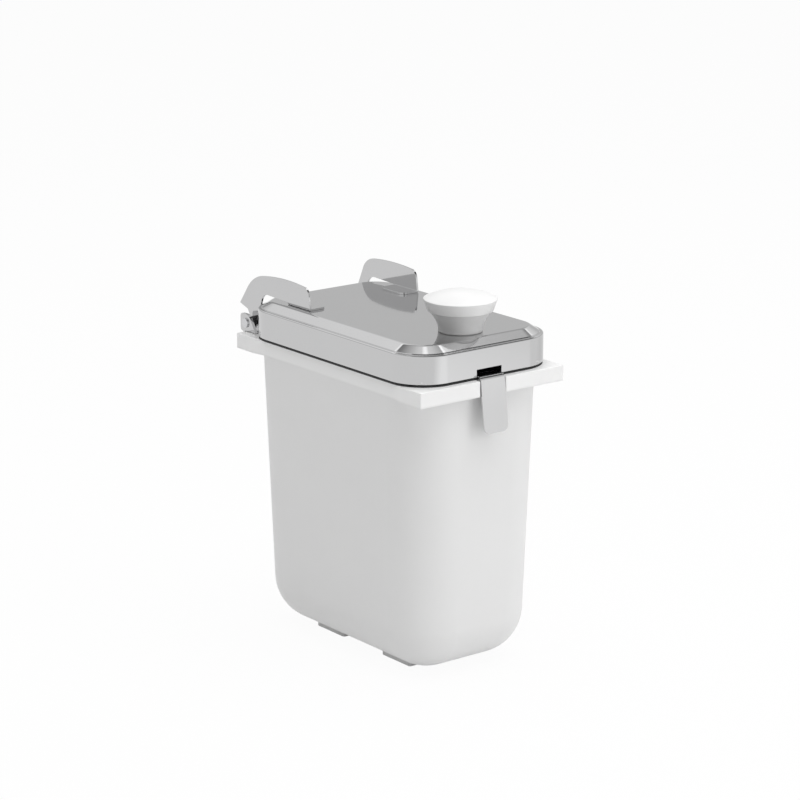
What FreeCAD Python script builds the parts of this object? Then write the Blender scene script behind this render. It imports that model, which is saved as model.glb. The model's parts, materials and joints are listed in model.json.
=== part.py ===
import FreeCAD, Part
import math
import os
from FreeCAD import Vector

# All sizes are in millimetres. +Z is up and the clip side faces -Y.
# Pieces are drawn about the middle of the jar's foot plane, then moved along Y so that the
# origin is the middle of the whole object's footprint.

# Jar
jar_length = 210.0
jar_width = 123.0
jar_height = 210.5
jar_wall = 2.6
flange_height = 10.8
side_inset = 2.4
end_inset = 6.7
draft = 0.027
corner_radius = 34.0
floor_round_less = 0.5
foot_height = 3.0
foot_width = 14.0
foot_length = 32.0
foot_setback = 31.2
foot_middle_share = 0.362
foot_corner = 2.0
ear_flat = 17.0
ear_blend = 17.5
side_band = 0.3

# Hollow underside of the flange
flange_skin = 2.4
flange_roof = 3.0
rib_count = 3
rib_thickness = 1.8
pocket_end = 6.0

# Notch in the front of the flange, where the clip passes
notch_width = 18.6
notch_round = 6.0

# Rim frame
frame_sheet = 1.2
frame_gap = 0.4
collar_depth = 12.0
frame_edge = 3.0
frame_lip = 0.8

# Lid
lid_front_setback = 4.6
lid_back_setback = 8.5
lid_corner = 27.0
lid_sheet = 1.0
lid_rest = 0.4
skirt_height = 19.9
skirt_round = 1.2
skirt_inner_round = 0.2
ledge_width = 2.4
crown_inset = 9.5
crown_height = 4.7

# Front clip
clip_width = 20.4
clip_sheet = 1.5
clip_bend = 1.5
clip_knee_bend = 5.0
clip_drop = 36.0
clip_knee = 23.5
clip_lean = 4.7
clip_reach = 3.9
clip_inner_leg = 10.0
clip_corner = 5.0
clip_room = 0.4
slot_rise = 5.4

# Hinge
pin_setback = 0.5
pin_rise = 6.1
pin_radius = 2.5
pin_play = 0.06
pin_head_radius = 3.5
pin_head = 1.2
pin_head_round = 0.4
pin_tail = 2.6
ring_groove_depth = 0.5
ring_thickness = 0.8
ring_radius = 4.6
ring_play = 0.1
ring_mouth = 3.6
cheek_sheet = 2.2
cheek_setback = 7.8
cheek_eye = 6.5
cheek_reach = 12.0
cheek_lift = 0.3
lip_gap = 0.3
lip_drop = 16.0
lip_slot_depth = 4.5
lip_slot_room = 1.1
spacer_radius = 4.0
spacer_end_play = 0.1

# Hinge arms, in the side view: distance behind the pin's axis and height above the rim
spacer_length = 3.8
arm_sheet = 1.5
arm_eye = 4.7
arm_foot_front = -68.4
arm_foot_back = -42.5
arm_foot_width = 15.0
arm_foot_corner = 5.0
arm_bend = 1.2
arm_nose = (-67.1, 37.2)
arm_forehead = (-65.4, 40.4)
arm_brow = (-61.0, 42.1)
arm_crest = (-36.5, 43.2)
arm_belly_back = (-18.5, 28.6)
arm_throat = (-13.1, 26.6)
arm_shin = (-10.6, 22.4)
horn_shoulder = (-10.5, 40.9)
horn_bulge = (-0.1, 36.2)
horn_neck = (7.0, 29.0)
horn_tip = (15.8, 17.2)
horn_root = (6.3, 14.2)
plain_shoulder = (-17.0, 42.0)
plain_bulge = (-9.9, 39.2)
plain_back = (-5.9, 35.0)
plain_calf = (1.7, 18.5)

# Knob
knob_setback = 35.2
knob_base_radius = 15.0
knob_waist_radius = 16.1
knob_neck_radius = 20.6
knob_band_low_radius = 21.9
knob_band_high_radius = 24.9
knob_waist_middle = 6.7
knob_neck_height = 13.4
knob_band_height = 8.6
knob_dome = 5.4
knob_edge = 0.6
knob_bore_depth = 15.0
screw_radius = 2.4
screw_hole_play = 0.3
screw_head_radius = 4.8
screw_head = 3.0
screw_recess = 1.6
screw_recess_width = 1.1
screw_recess_reach = 2.9
screw_reach = 13.0
washer_radius = 7.5
washer_sheet = 1.0

# Turns and how near an edge has to be to be picked
quarter_turn = 90.0
full_turn = 360.0
diagonal_share = 0.7071
exact = 1e-6
close = 1e-4
nearby = 0.1

# Worked out from the sizes above
rim = jar_height
half_length = jar_length / 2
half_width = jar_width / 2
lid_front = half_length - lid_front_setback
lid_back = half_length - lid_back_setback
pin_back = half_length - pin_setback
cheek_outside = half_width - cheek_setback
cheek_front = pin_back - cheek_reach
knob_back = knob_setback - half_length
floor_radius = corner_radius - floor_round_less
foot_side = half_width - foot_setback
foot_middle = half_length * foot_middle_share
wall_x = half_width - side_inset
wall_y = half_length - end_inset
frame_top = rim + frame_sheet
skirt_bottom = frame_top + lid_rest
skirt_top = skirt_bottom + skirt_height
crown_top = skirt_top + crown_height
lid_x = half_width
pin_z = rim + pin_rise
cheek_inside = cheek_outside - cheek_sheet
arm_outside = cheek_inside - spacer_length - 2 * spacer_end_play
arm_inside = arm_outside - arm_sheet
lip_front = half_length + lip_gap
lip_back = lip_front + cheek_sheet
collar_x = wall_x - jar_wall - frame_gap
collar_y = wall_y - jar_wall - frame_gap
collar_corner = corner_radius - jar_wall - frame_gap
clip_face = lid_front + clip_reach + clip_lean
footprint_shift = (clip_face - pin_back - horn_tip[0]) / 2


def rounded_wire(x0, x1, y0, y1, radius, z):
    """Closed rectangle in plan with rounded corners."""
    centres = [(x1 - radius, y1 - radius), (x0 + radius, y1 - radius),
               (x0 + radius, y0 + radius), (x1 - radius, y0 + radius)]
    arcs = []
    for index, (cx, cy) in enumerate(centres):
        start = index * quarter_turn
        ends = []
        for turn in (start, start + quarter_turn / 2, start + quarter_turn):
            angle = math.radians(turn)
            ends.append(Vector(cx + radius * math.cos(angle), cy + radius * math.sin(angle), z))
        arcs.append((ends, Part.Arc(*ends).toShape()))
    edges = []
    for index, (ends, arc) in enumerate(arcs):
        follower = arcs[(index + 1) % len(arcs)][0]
        edges.append(arc)
        edges.append(Part.makeLine(ends[2], follower[0]))
    return Part.Wire(edges)


def rounded_block(x, y0, y1, radius, z0, z1):
    """Upright block with rounded corners, centred on x = 0."""
    face = Part.Face(rounded_wire(-x, x, y0, y1, radius, z0))
    return face.extrude(Vector(0, 0, z1 - z0))


def box(x0, x1, y0, y1, z0, z1):
    """Plain block between two corners."""
    return Part.makeBox(x1 - x0, y1 - y0, z1 - z0, Vector(x0, y0, z0))


def rod(radius, x0, x1):
    """Round bar along the hinge axis."""
    return Part.makeCylinder(radius, x1 - x0, Vector(x0, pin_back, pin_z), Vector(1, 0, 0))


def edges_along(shape, direction, keep):
    """Straight edges along a direction whose middle point passes the test."""
    found = []
    for edge in shape.Edges:
        if not isinstance(edge.Curve, Part.Line):
            continue
        way = (edge.Vertexes[1].Point - edge.Vertexes[0].Point).normalize()
        if abs(abs(way.dot(direction)) - 1) > exact:
            continue
        middle = (edge.Vertexes[0].Point + edge.Vertexes[1].Point) / 2
        if keep(middle):
            found.append(edge)
    return found


def tub(x, y, radius, top, bottom, floor_round):
    """Drafted tub with rounded corners and a rounded floor."""
    drop = (top - bottom) * draft
    upper = rounded_wire(-x, x, -y, y, radius, top)
    lower = rounded_wire(drop - x, x - drop, drop - y, y - drop, radius, bottom)
    solid = Part.makeLoft([lower, upper], True, True)
    floor_edges = [edge for edge in solid.Edges
                   if all(abs(vertex.Z - bottom) < exact for vertex in edge.Vertexes)]
    return solid.makeFillet(floor_round, floor_edges)


def flange_half(side):
    """Plan edges of the flange from the front notch to the middle of the back, on one side."""
    half_notch = notch_width / 2
    inner = wall_x + side_band
    blend_start = half_length - ear_flat
    blend_end = blend_start - ear_blend
    middle = (blend_start + blend_end) / 2

    def at(x, y):
        return Vector(side * x, y, rim - flange_height)

    turn = notch_round * (1 - diagonal_share)
    front_arc = Part.Arc(at(half_notch, notch_round - half_length),
                         at(half_notch + turn, turn - half_length),
                         at(half_notch + notch_round, -half_length)).toShape()
    front_blend = Part.BezierCurve()
    front_blend.setPoles([at(half_width, -blend_start), at(half_width, -middle),
                          at(inner, -middle), at(inner, -blend_end)])
    back_blend = Part.BezierCurve()
    back_blend.setPoles([at(inner, blend_end), at(inner, middle),
                         at(half_width, middle), at(half_width, blend_start)])
    return [
        Part.makeLine(at(0, -wall_y), at(half_notch, -wall_y)),
        Part.makeLine(at(half_notch, -wall_y), at(half_notch, notch_round - half_length)),
        front_arc,
        Part.makeLine(at(half_notch + notch_round, -half_length), at(half_width, -half_length)),
        Part.makeLine(at(half_width, -half_length), at(half_width, -blend_start)),
        front_blend.toShape(),
        Part.makeLine(at(inner, -blend_end), at(inner, blend_end)),
        back_blend.toShape(),
        Part.makeLine(at(half_width, blend_start), at(half_width, half_length)),
        Part.makeLine(at(half_width, half_length), at(0, half_length)),
    ]


def flange_pockets():
    """Hollows under the flange, left open between ribs at the front and the back."""
    z0 = rim - flange_height
    z1 = rim - flange_roof
    outer = half_length - flange_skin
    inner = wall_y + side_band
    first = notch_width / 2 + notch_round + flange_skin
    last = wall_x - pocket_end
    pitch = (last - first + rib_thickness) / (rib_count + 1)
    pockets = []
    for side in (-1, 1):
        for index in range(rib_count + 1):
            near = first + index * pitch
            far = near + pitch - rib_thickness
            x0, x1 = sorted((side * near, side * far))
            pockets.append(box(x0, x1, -outer, -inner, z0, z1))
            pockets.append(box(x0, x1, inner, outer, z0, z1))
    return pockets


def make_jar():
    """White moulded jar: drafted tub, flange with four ears, ribbed underside and four feet."""
    rise = flange_height * draft
    body = tub(wall_x + rise, wall_y + rise, corner_radius, rim, foot_height, floor_radius)
    right = flange_half(1)
    left = [edge for edge in reversed(flange_half(-1))]
    outline = Part.Wire(Part.__sortEdges__(right + left))
    flange = Part.Face(outline).extrude(Vector(0, 0, flange_height))
    pads = []
    for side in (-1, 1):
        for end in (-1, 1):
            x0, x1 = sorted((side * foot_side, side * (foot_side - foot_width)))
            centre = end * foot_middle
            pad = box(x0, x1, centre - foot_length / 2, centre + foot_length / 2,
                      0, foot_height + jar_wall)
            uprights = edges_along(pad, Vector(0, 0, 1), lambda middle: True)
            pads.append(pad.makeFillet(foot_corner, uprights))
    hollow = tub(wall_x + rise - jar_wall, wall_y + rise - jar_wall, corner_radius - jar_wall,
                 rim, foot_height + jar_wall, floor_radius - jar_wall)
    jar = body.fuse([flange] + pads)
    return jar.cut([hollow] + flange_pockets()).removeSplitter()


def make_rim_frame():
    """Pressed ring on the jar's rim with a collar down into the mouth and a tab under the hinge."""
    edge_x = lid_x - frame_edge
    ring = rounded_block(edge_x, frame_edge - lid_front, lid_back - frame_edge,
                         lid_corner - frame_edge, rim, frame_top)
    tab = box(-cheek_inside, cheek_inside, lid_back - lid_corner, lip_front, rim, frame_top)
    collar = rounded_block(collar_x, -collar_y, collar_y, collar_corner,
                           rim - collar_depth, frame_top)
    mouth = rounded_block(collar_x - frame_sheet, frame_sheet - collar_y, collar_y - frame_sheet,
                          collar_corner - frame_sheet, rim - collar_depth, frame_top)
    frame = ring.fuse([tab, collar]).cut(mouth).removeSplitter()
    lip = [edge for edge in frame.Edges
           if all(abs(vertex.Z - frame_top) < exact for vertex in edge.Vertexes)
           and abs(edge.CenterOfMass.x) < collar_x - frame_sheet + nearby
           and abs(edge.CenterOfMass.y) < collar_y - frame_sheet + nearby]
    return frame.makeFillet(frame_lip, lip)


def bent_strip(points, bends, sheet, width):
    """Strip of sheet along a side-view path of (y, z) points, with an inside radius per bend."""
    def offset(distance):
        line = []
        for index, (y, z) in enumerate(points):
            ways = []
            if index > 0:
                ways.append((y - points[index - 1][0], z - points[index - 1][1]))
            if index < len(points) - 1:
                ways.append((points[index + 1][0] - y, points[index + 1][1] - z))
            normals = []
            for dy, dz in ways:
                size = math.hypot(dy, dz)
                normals.append((-dz / size, dy / size))
            ny = sum(normal[0] for normal in normals) / len(normals)
            nz = sum(normal[1] for normal in normals) / len(normals)
            scale = distance / (ny * ny + nz * nz)
            line.append((y + ny * scale, z + nz * scale))
        return line

    inner = list(points)
    outer = offset(sheet)
    corners = [Vector(-width / 2, y, z) for y, z in inner + outer[::-1]]
    face = Part.Face(Part.makePolygon(corners + corners[:1]))
    strip = face.extrude(Vector(width, 0, 0))
    for line, extra in ((inner, 0), (outer, sheet)):
        for (y, z), bend in zip(line[1:-1], bends):
            turned = edges_along(strip, Vector(1, 0, 0),
                                 lambda middle: math.hypot(middle.y - y, middle.z - z) < close)
            strip = strip.makeFillet(bend + extra, turned)
    return strip


def make_front_clip():
    """Spring strap welded inside the collar, bent over the rim and hung down in front."""
    inside = frame_sheet - collar_y
    knee_z = rim - clip_knee
    low = clip_sheet - clip_face
    path = [(low, rim - clip_drop), (low, knee_z), (low + clip_lean, frame_top),
            (inside, frame_top), (inside, rim - clip_inner_leg)]
    bends = (clip_knee_bend, clip_bend, frame_lip)
    strap = bent_strip(path, bends, clip_sheet, clip_width)
    bottom = edges_along(strap, Vector(0, 1, 0), lambda middle: middle.z < rim - clip_drop + nearby)
    return strap.makeFillet(clip_corner, bottom)


def make_hinge_bracket():
    """Bracket bent round the frame's tab: two cheeks with eyes and a lip down behind the flange."""
    web = box(-cheek_outside, cheek_outside, lip_front, lip_back, rim - lip_drop, frame_top)
    web = web.makeFillet(cheek_sheet, edges_along(
        web, Vector(0, 1, 0), lambda middle: middle.z < rim - lip_drop + nearby))
    dy = pin_back - cheek_front
    dz = pin_rise
    reach = math.hypot(dy, dz)
    lean = math.atan2(dz, dy) + math.asin(cheek_eye / reach)
    run = math.sqrt(reach * reach - cheek_eye * cheek_eye)
    touch = (cheek_front + run * math.cos(lean), rim + run * math.sin(lean))
    sides = []
    for side in (-1, 1):
        x0, x1 = sorted((side * cheek_inside, side * cheek_outside))
        corners = [(cheek_front, rim), (lip_back, rim), (lip_back, pin_z), (pin_back, pin_z), touch]
        wire = Part.makePolygon([Vector(x0, y, z) for y, z in corners + corners[:1]])
        plate = Part.Face(wire).extrude(Vector(x1 - x0, 0, 0))
        sides.append(plate.fuse(rod(cheek_eye, x0, x1)))
    bracket = web.fuse(sides)
    slots = []
    for side in (-1, 1):
        x0, x1 = sorted((side * (arm_inside - lip_slot_room), side * (arm_outside + lip_slot_room)))
        slots.append(box(x0, x1, lip_front, lip_back, rim - lip_slot_depth, frame_top))
    under = box(-cheek_outside, cheek_outside, 0, lip_front, rim - lip_drop, rim + cheek_lift)
    bore = rod(pin_radius + pin_play, -cheek_outside, cheek_outside)
    return bracket.cut(slots + [under, bore]).removeSplitter()


def make_hinge_pin():
    """Headed pin through both cheeks, both spacers and both arms, with a groove for its ring."""
    tail = cheek_outside + pin_tail
    shaft = rod(pin_radius, -cheek_outside, tail)
    head = rod(pin_head_radius, -cheek_outside - pin_head, -cheek_outside)
    rim_edges = [edge for edge in head.Edges if isinstance(edge.Curve, Part.Circle)
                 and edge.CenterOfMass.x < -cheek_outside - pin_head / 2]
    head = head.makeFillet(pin_head_round, rim_edges)
    groove_start = cheek_outside + ring_play
    groove_end = groove_start + ring_thickness + 2 * ring_play
    groove = rod(ring_radius, groove_start, groove_end)
    core = rod(pin_radius - ring_groove_depth, groove_start, groove_end)
    return shaft.fuse(head).cut(groove.cut(core)).removeSplitter()


def make_retaining_ring():
    """Open spring ring snapped into the pin's groove."""
    x0 = cheek_outside + 2 * ring_play
    x1 = x0 + ring_thickness
    inner = pin_radius - ring_groove_depth + ring_play
    ring = rod(ring_radius, x0, x1).cut(rod(inner, x0, x1))
    mouth = box(x0, x1, pin_back - ring_mouth / 2, pin_back + ring_mouth / 2,
                pin_z - ring_radius, pin_z)
    return ring.cut(mouth)


def make_spacer(side):
    """Bush on the pin that keeps an arm off its cheek."""
    x0, x1 = sorted((side * (arm_outside + spacer_end_play), side * (cheek_inside - spacer_end_play)))
    return rod(spacer_radius, x0, x1).cut(rod(pin_radius + pin_play, x0, x1))


def lid_form(inset):
    """Solid shape of the lid, drawn in by the sheet's thickness for its inside."""
    x = lid_x - inset
    y0 = inset - lid_front
    y1 = lid_back - inset
    radius = lid_corner - inset
    top = skirt_top - inset
    skirt = rounded_block(x, y0, y1, radius, skirt_bottom, top)
    top_edges = [edge for edge in skirt.Edges
                 if all(abs(vertex.Z - top) < exact for vertex in edge.Vertexes)]
    skirt = skirt.makeFillet(max(skirt_round - inset, skirt_inner_round), top_edges)

    def ring(step, z):
        return rounded_wire(step - x, x - step, y0 + step, y1 - step, radius - step, z)

    low = ledge_width
    high = crown_inset - inset / 2
    crown = Part.makeLoft([ring(low, top - lid_sheet / 2), ring(low, top), ring(high, crown_top - inset)],
                          True, True)
    return skirt.fuse(crown)


def make_lid():
    """Drawn steel lid: skirt, ledge, raised crown, slot over the clip and the knob's hole."""
    shell = lid_form(0).cut(lid_form(lid_sheet))
    half_slot = clip_width / 2 + clip_room
    slot = box(-half_slot, half_slot, -lid_front, lid_sheet * 2 - lid_front,
               skirt_bottom, skirt_bottom + slot_rise)
    hole = Part.makeCylinder(screw_radius + screw_hole_play, crown_height + skirt_height,
                             Vector(0, knob_back, crown_top - crown_height))
    return shell.cut([slot, hole]).removeSplitter()


def make_arm(side, horned):
    """Hinge arm: foot on the lid, arch over its back edge, eye on the pin; one has a stop horn."""
    outside = side * arm_outside

    def at(point):
        return Vector(outside, pin_back + point[0], rim + point[1])

    diagonal = arm_eye * diagonal_share
    eye_back = (diagonal, pin_rise + diagonal)
    eye_low = (0, pin_rise - arm_eye)
    eye_front = (-arm_eye, pin_rise)
    seat = crown_top - rim
    toe = (arm_foot_front, seat)
    toe_top = (arm_foot_front, seat + arm_sheet)
    heel = (arm_foot_back, seat)
    heel_top = (arm_foot_back, seat + arm_sheet)
    edges = [
        Part.makeLine(at(heel), at(toe)),
        Part.makeLine(at(toe), at(toe_top)),
        Part.makeLine(at(toe_top), at(arm_nose)),
        Part.Arc(at(arm_nose), at(arm_forehead), at(arm_brow)).toShape(),
    ]
    if horned:
        edges += [
            Part.Arc(at(arm_brow), at(arm_crest), at(horn_shoulder)).toShape(),
            Part.Arc(at(horn_shoulder), at(horn_bulge), at(horn_neck)).toShape(),
            Part.makeLine(at(horn_neck), at(horn_tip)),
            Part.makeLine(at(horn_tip), at(horn_root)),
            Part.makeLine(at(horn_root), at(eye_back)),
        ]
    else:
        edges += [
            Part.Arc(at(arm_brow), at(arm_crest), at(plain_shoulder)).toShape(),
            Part.Arc(at(plain_shoulder), at(plain_bulge), at(plain_back)).toShape(),
            Part.makeLine(at(plain_back), at(plain_calf)),
            Part.makeLine(at(plain_calf), at(eye_back)),
        ]
    edges += [
        Part.Arc(at(eye_back), at(eye_low), at(eye_front)).toShape(),
        Part.makeLine(at(eye_front), at(arm_shin)),
        Part.Arc(at(arm_shin), at(arm_throat), at(arm_belly_back)).toShape(),
        Part.makeLine(at(arm_belly_back), at(heel_top)),
        Part.makeLine(at(heel_top), at(heel)),
    ]
    plate = Part.Face(Part.Wire(edges)).extrude(Vector(-side * arm_sheet, 0, 0))
    x0, x1 = sorted((outside, outside - side * arm_foot_width))
    foot = box(x0, x1, pin_back + arm_foot_front, pin_back + arm_foot_back,
               crown_top, crown_top + arm_sheet)
    inner_corners = edges_along(foot, Vector(0, 0, 1),
                                lambda middle: abs(middle.x) < arm_inside - arm_sheet)
    foot = foot.makeFillet(arm_foot_corner, inner_corners)
    arm = plate.fuse(foot).removeSplitter()
    bend = edges_along(arm, Vector(0, 1, 0),
                       lambda middle: math.hypot(middle.z - crown_top, middle.x - outside) < close)
    arm = arm.makeFillet(arm_bend, bend)
    x0, x1 = sorted((outside, side * arm_inside))
    return arm.cut(rod(pin_radius + pin_play, x0, x1))


def make_knob():
    """Turned knob: concave waist, tapered band and a domed top, with a blind hole for its screw."""
    base = crown_top
    neck = base + knob_neck_height
    band = neck + knob_band_height
    half = knob_band_high_radius - knob_edge
    sphere = (half * half + knob_dome * knob_dome) / (2 * knob_dome)
    quarter = half / 2
    quarter_rise = math.sqrt(sphere * sphere - quarter * quarter) - (sphere - knob_dome)

    def at(radius, z):
        return Vector(radius, 0, z)

    edges = [
        Part.makeLine(at(0, base), at(knob_base_radius, base)),
        Part.Arc(at(knob_base_radius, base), at(knob_waist_radius, base + knob_waist_middle),
                 at(knob_neck_radius, neck)).toShape(),
        Part.makeLine(at(knob_neck_radius, neck), at(knob_band_low_radius, neck)),
        Part.makeLine(at(knob_band_low_radius, neck), at(knob_band_high_radius, band)),
        Part.makeLine(at(knob_band_high_radius, band), at(half, band + knob_edge)),
        Part.Arc(at(half, band + knob_edge), at(quarter, band + knob_edge + quarter_rise),
                 at(0, band + knob_edge + knob_dome)).toShape(),
        Part.makeLine(at(0, band + knob_edge + knob_dome), at(0, base)),
    ]
    knob = Part.Face(Part.Wire(edges)).revolve(Vector(0, 0, 0), Vector(0, 0, 1), full_turn)
    bore = Part.makeCylinder(screw_radius, knob_bore_depth, Vector(0, 0, base))
    knob = knob.cut(bore)
    knob.translate(Vector(0, knob_back, 0))
    return knob


def make_knob_washer():
    """Washer under the lid, round the knob's screw."""
    z0 = crown_top - lid_sheet - washer_sheet
    disc = Part.makeCylinder(washer_radius, washer_sheet, Vector(0, knob_back, z0))
    hole = Part.makeCylinder(screw_radius + screw_hole_play, washer_sheet, Vector(0, knob_back, z0))
    return disc.cut(hole)


def make_knob_screw():
    """Pan head screw up through washer and lid into the knob."""
    seat = crown_top - lid_sheet - washer_sheet
    shank = Part.makeCylinder(screw_radius, lid_sheet + washer_sheet + screw_reach,
                              Vector(0, knob_back, seat))
    head = Part.makeCylinder(screw_head_radius, screw_head, Vector(0, knob_back, seat - screw_head))
    low = [edge for edge in head.Edges if isinstance(edge.Curve, Part.Circle)
           and edge.CenterOfMass.z < seat - screw_head / 2]
    head = head.makeFillet(screw_head / 2, low)
    screw = shank.fuse(head)
    half = screw_recess_width / 2
    z0 = seat - screw_head
    for along_x in (screw_recess_reach, half):
        along_y = screw_recess_reach + half - along_x
        screw = screw.cut(box(-along_x, along_x, knob_back - along_y, knob_back + along_y,
                              z0, z0 + screw_recess))
    return screw.removeSplitter()


def main():
    """Build every piece and write one STEP file for each."""
    os.makedirs("parts", exist_ok=True)
    pieces = {
        "jar": make_jar(),
        "rim_frame": make_rim_frame(),
        "front_clip": make_front_clip(),
        "hinge_bracket": make_hinge_bracket(),
        "hinge_pin": make_hinge_pin(),
        "pin_retaining_ring": make_retaining_ring(),
        "hinge_spacer_left": make_spacer(-1),
        "hinge_spacer_right": make_spacer(1),
        "lid": make_lid(),
        "lid_arm_left": make_arm(-1, True),
        "lid_arm_right": make_arm(1, False),
        "knob": make_knob(),
        "knob_washer": make_knob_washer(),
        "knob_screw": make_knob_screw(),
    }
    for name, shape in pieces.items():
        shape.translate(Vector(0, footprint_shift, 0))
        print(name, len(shape.Solids), shape.isValid(), round(shape.Volume))
        shape.exportStep("parts/" + name + ".step")


main()
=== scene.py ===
"""Dresses the lidded sauce container: white jar, polished lid on a rear hinge, turned knob and clip."""
import json
import logging
import math
from dataclasses import dataclass, field
from enum import Enum
from typing import Callable, Iterable, Sequence

import bmesh
import bpy
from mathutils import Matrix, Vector
from mathutils.geometry import delaunay_2d_cdt

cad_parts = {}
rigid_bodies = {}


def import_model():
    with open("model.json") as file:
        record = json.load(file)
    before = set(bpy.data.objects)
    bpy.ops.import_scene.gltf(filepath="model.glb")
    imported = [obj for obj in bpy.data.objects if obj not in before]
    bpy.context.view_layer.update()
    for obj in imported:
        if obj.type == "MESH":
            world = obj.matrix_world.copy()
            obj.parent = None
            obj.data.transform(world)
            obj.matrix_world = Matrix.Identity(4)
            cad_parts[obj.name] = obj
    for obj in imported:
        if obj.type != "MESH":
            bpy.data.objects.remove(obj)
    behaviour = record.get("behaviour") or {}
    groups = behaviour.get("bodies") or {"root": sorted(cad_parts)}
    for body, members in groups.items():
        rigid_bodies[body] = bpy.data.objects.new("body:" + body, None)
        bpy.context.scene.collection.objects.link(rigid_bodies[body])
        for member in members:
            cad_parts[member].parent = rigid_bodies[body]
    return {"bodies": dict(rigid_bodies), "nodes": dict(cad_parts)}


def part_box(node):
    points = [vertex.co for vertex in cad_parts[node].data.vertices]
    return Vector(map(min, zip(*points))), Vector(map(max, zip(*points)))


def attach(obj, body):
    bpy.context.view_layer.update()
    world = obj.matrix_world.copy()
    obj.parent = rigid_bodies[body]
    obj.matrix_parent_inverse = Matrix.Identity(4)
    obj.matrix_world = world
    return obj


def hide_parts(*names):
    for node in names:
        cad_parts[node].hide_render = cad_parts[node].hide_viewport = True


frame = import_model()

LOG = logging.getLogger("sauce_container")
MM = 0.001
WELD = 2e-6
FLAT_WITHIN = math.radians(0.1)
SHARP_FROM = math.radians(35)
EDGE_STEPS = 2
WHITE = (1.0, 1.0, 1.0, 1.0)
Point2 = tuple[float, float]


class Body(Enum):
    """The rigid bodies that pieces ride on."""

    JAR = "jar_body"
    FRAME = "frame_assembly"
    LID = "lid_assembly"


class Axis(Enum):
    """Direction in which polishing marks run on a piece."""

    ALONG_X = (0.06, 1.0, 1.0)
    ALONG_Y = (1.0, 0.06, 1.0)
    ALONG_Z = (1.0, 1.0, 0.06)


# Shader tools


class Value:
    """Wraps a shader socket so that sums and products read as Python expressions."""

    def __init__(self, tree: bpy.types.NodeTree, socket: bpy.types.NodeSocket) -> None:
        """Keeps the socket and the tree that it belongs to."""
        self.tree = tree
        self.socket = socket

    def _math(self, operation: str, *operands: "Value | float", clamp: bool = False) -> "Value":
        """Adds one Math node.

        Args:
            operation: the Math node's operation.
            operands: sockets or numbers, in order.
            clamp: whether the result is held between 0 and 1.

        Returns:
            The node's result.
        """
        node = self.tree.nodes.new("ShaderNodeMath")
        node.operation = operation
        node.use_clamp = clamp
        for index, operand in enumerate(operands):
            if isinstance(operand, Value):
                self.tree.links.new(operand.socket, node.inputs[index])
            else:
                node.inputs[index].default_value = operand
        return Value(self.tree, node.outputs[0])

    def __add__(self, other: "Value | float") -> "Value":
        """Sum."""
        return self._math("ADD", self, other)

    def __radd__(self, other: float) -> "Value":
        """Sum with a number on the left."""
        return self._math("ADD", other, self)

    def __sub__(self, other: "Value | float") -> "Value":
        """Difference."""
        return self._math("SUBTRACT", self, other)

    def __rsub__(self, other: float) -> "Value":
        """Difference from a number on the left."""
        return self._math("SUBTRACT", other, self)

    def __mul__(self, other: "Value | float") -> "Value":
        """Product."""
        return self._math("MULTIPLY", self, other)

    def __rmul__(self, other: float) -> "Value":
        """Product with a number on the left."""
        return self._math("MULTIPLY", other, self)

    def clamped(self) -> "Value":
        """Value held between 0 and 1."""
        return self._math("ADD", self, 0.0, clamp=True)


Input = "Value | float | tuple | bpy.types.NodeSocket"


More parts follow.
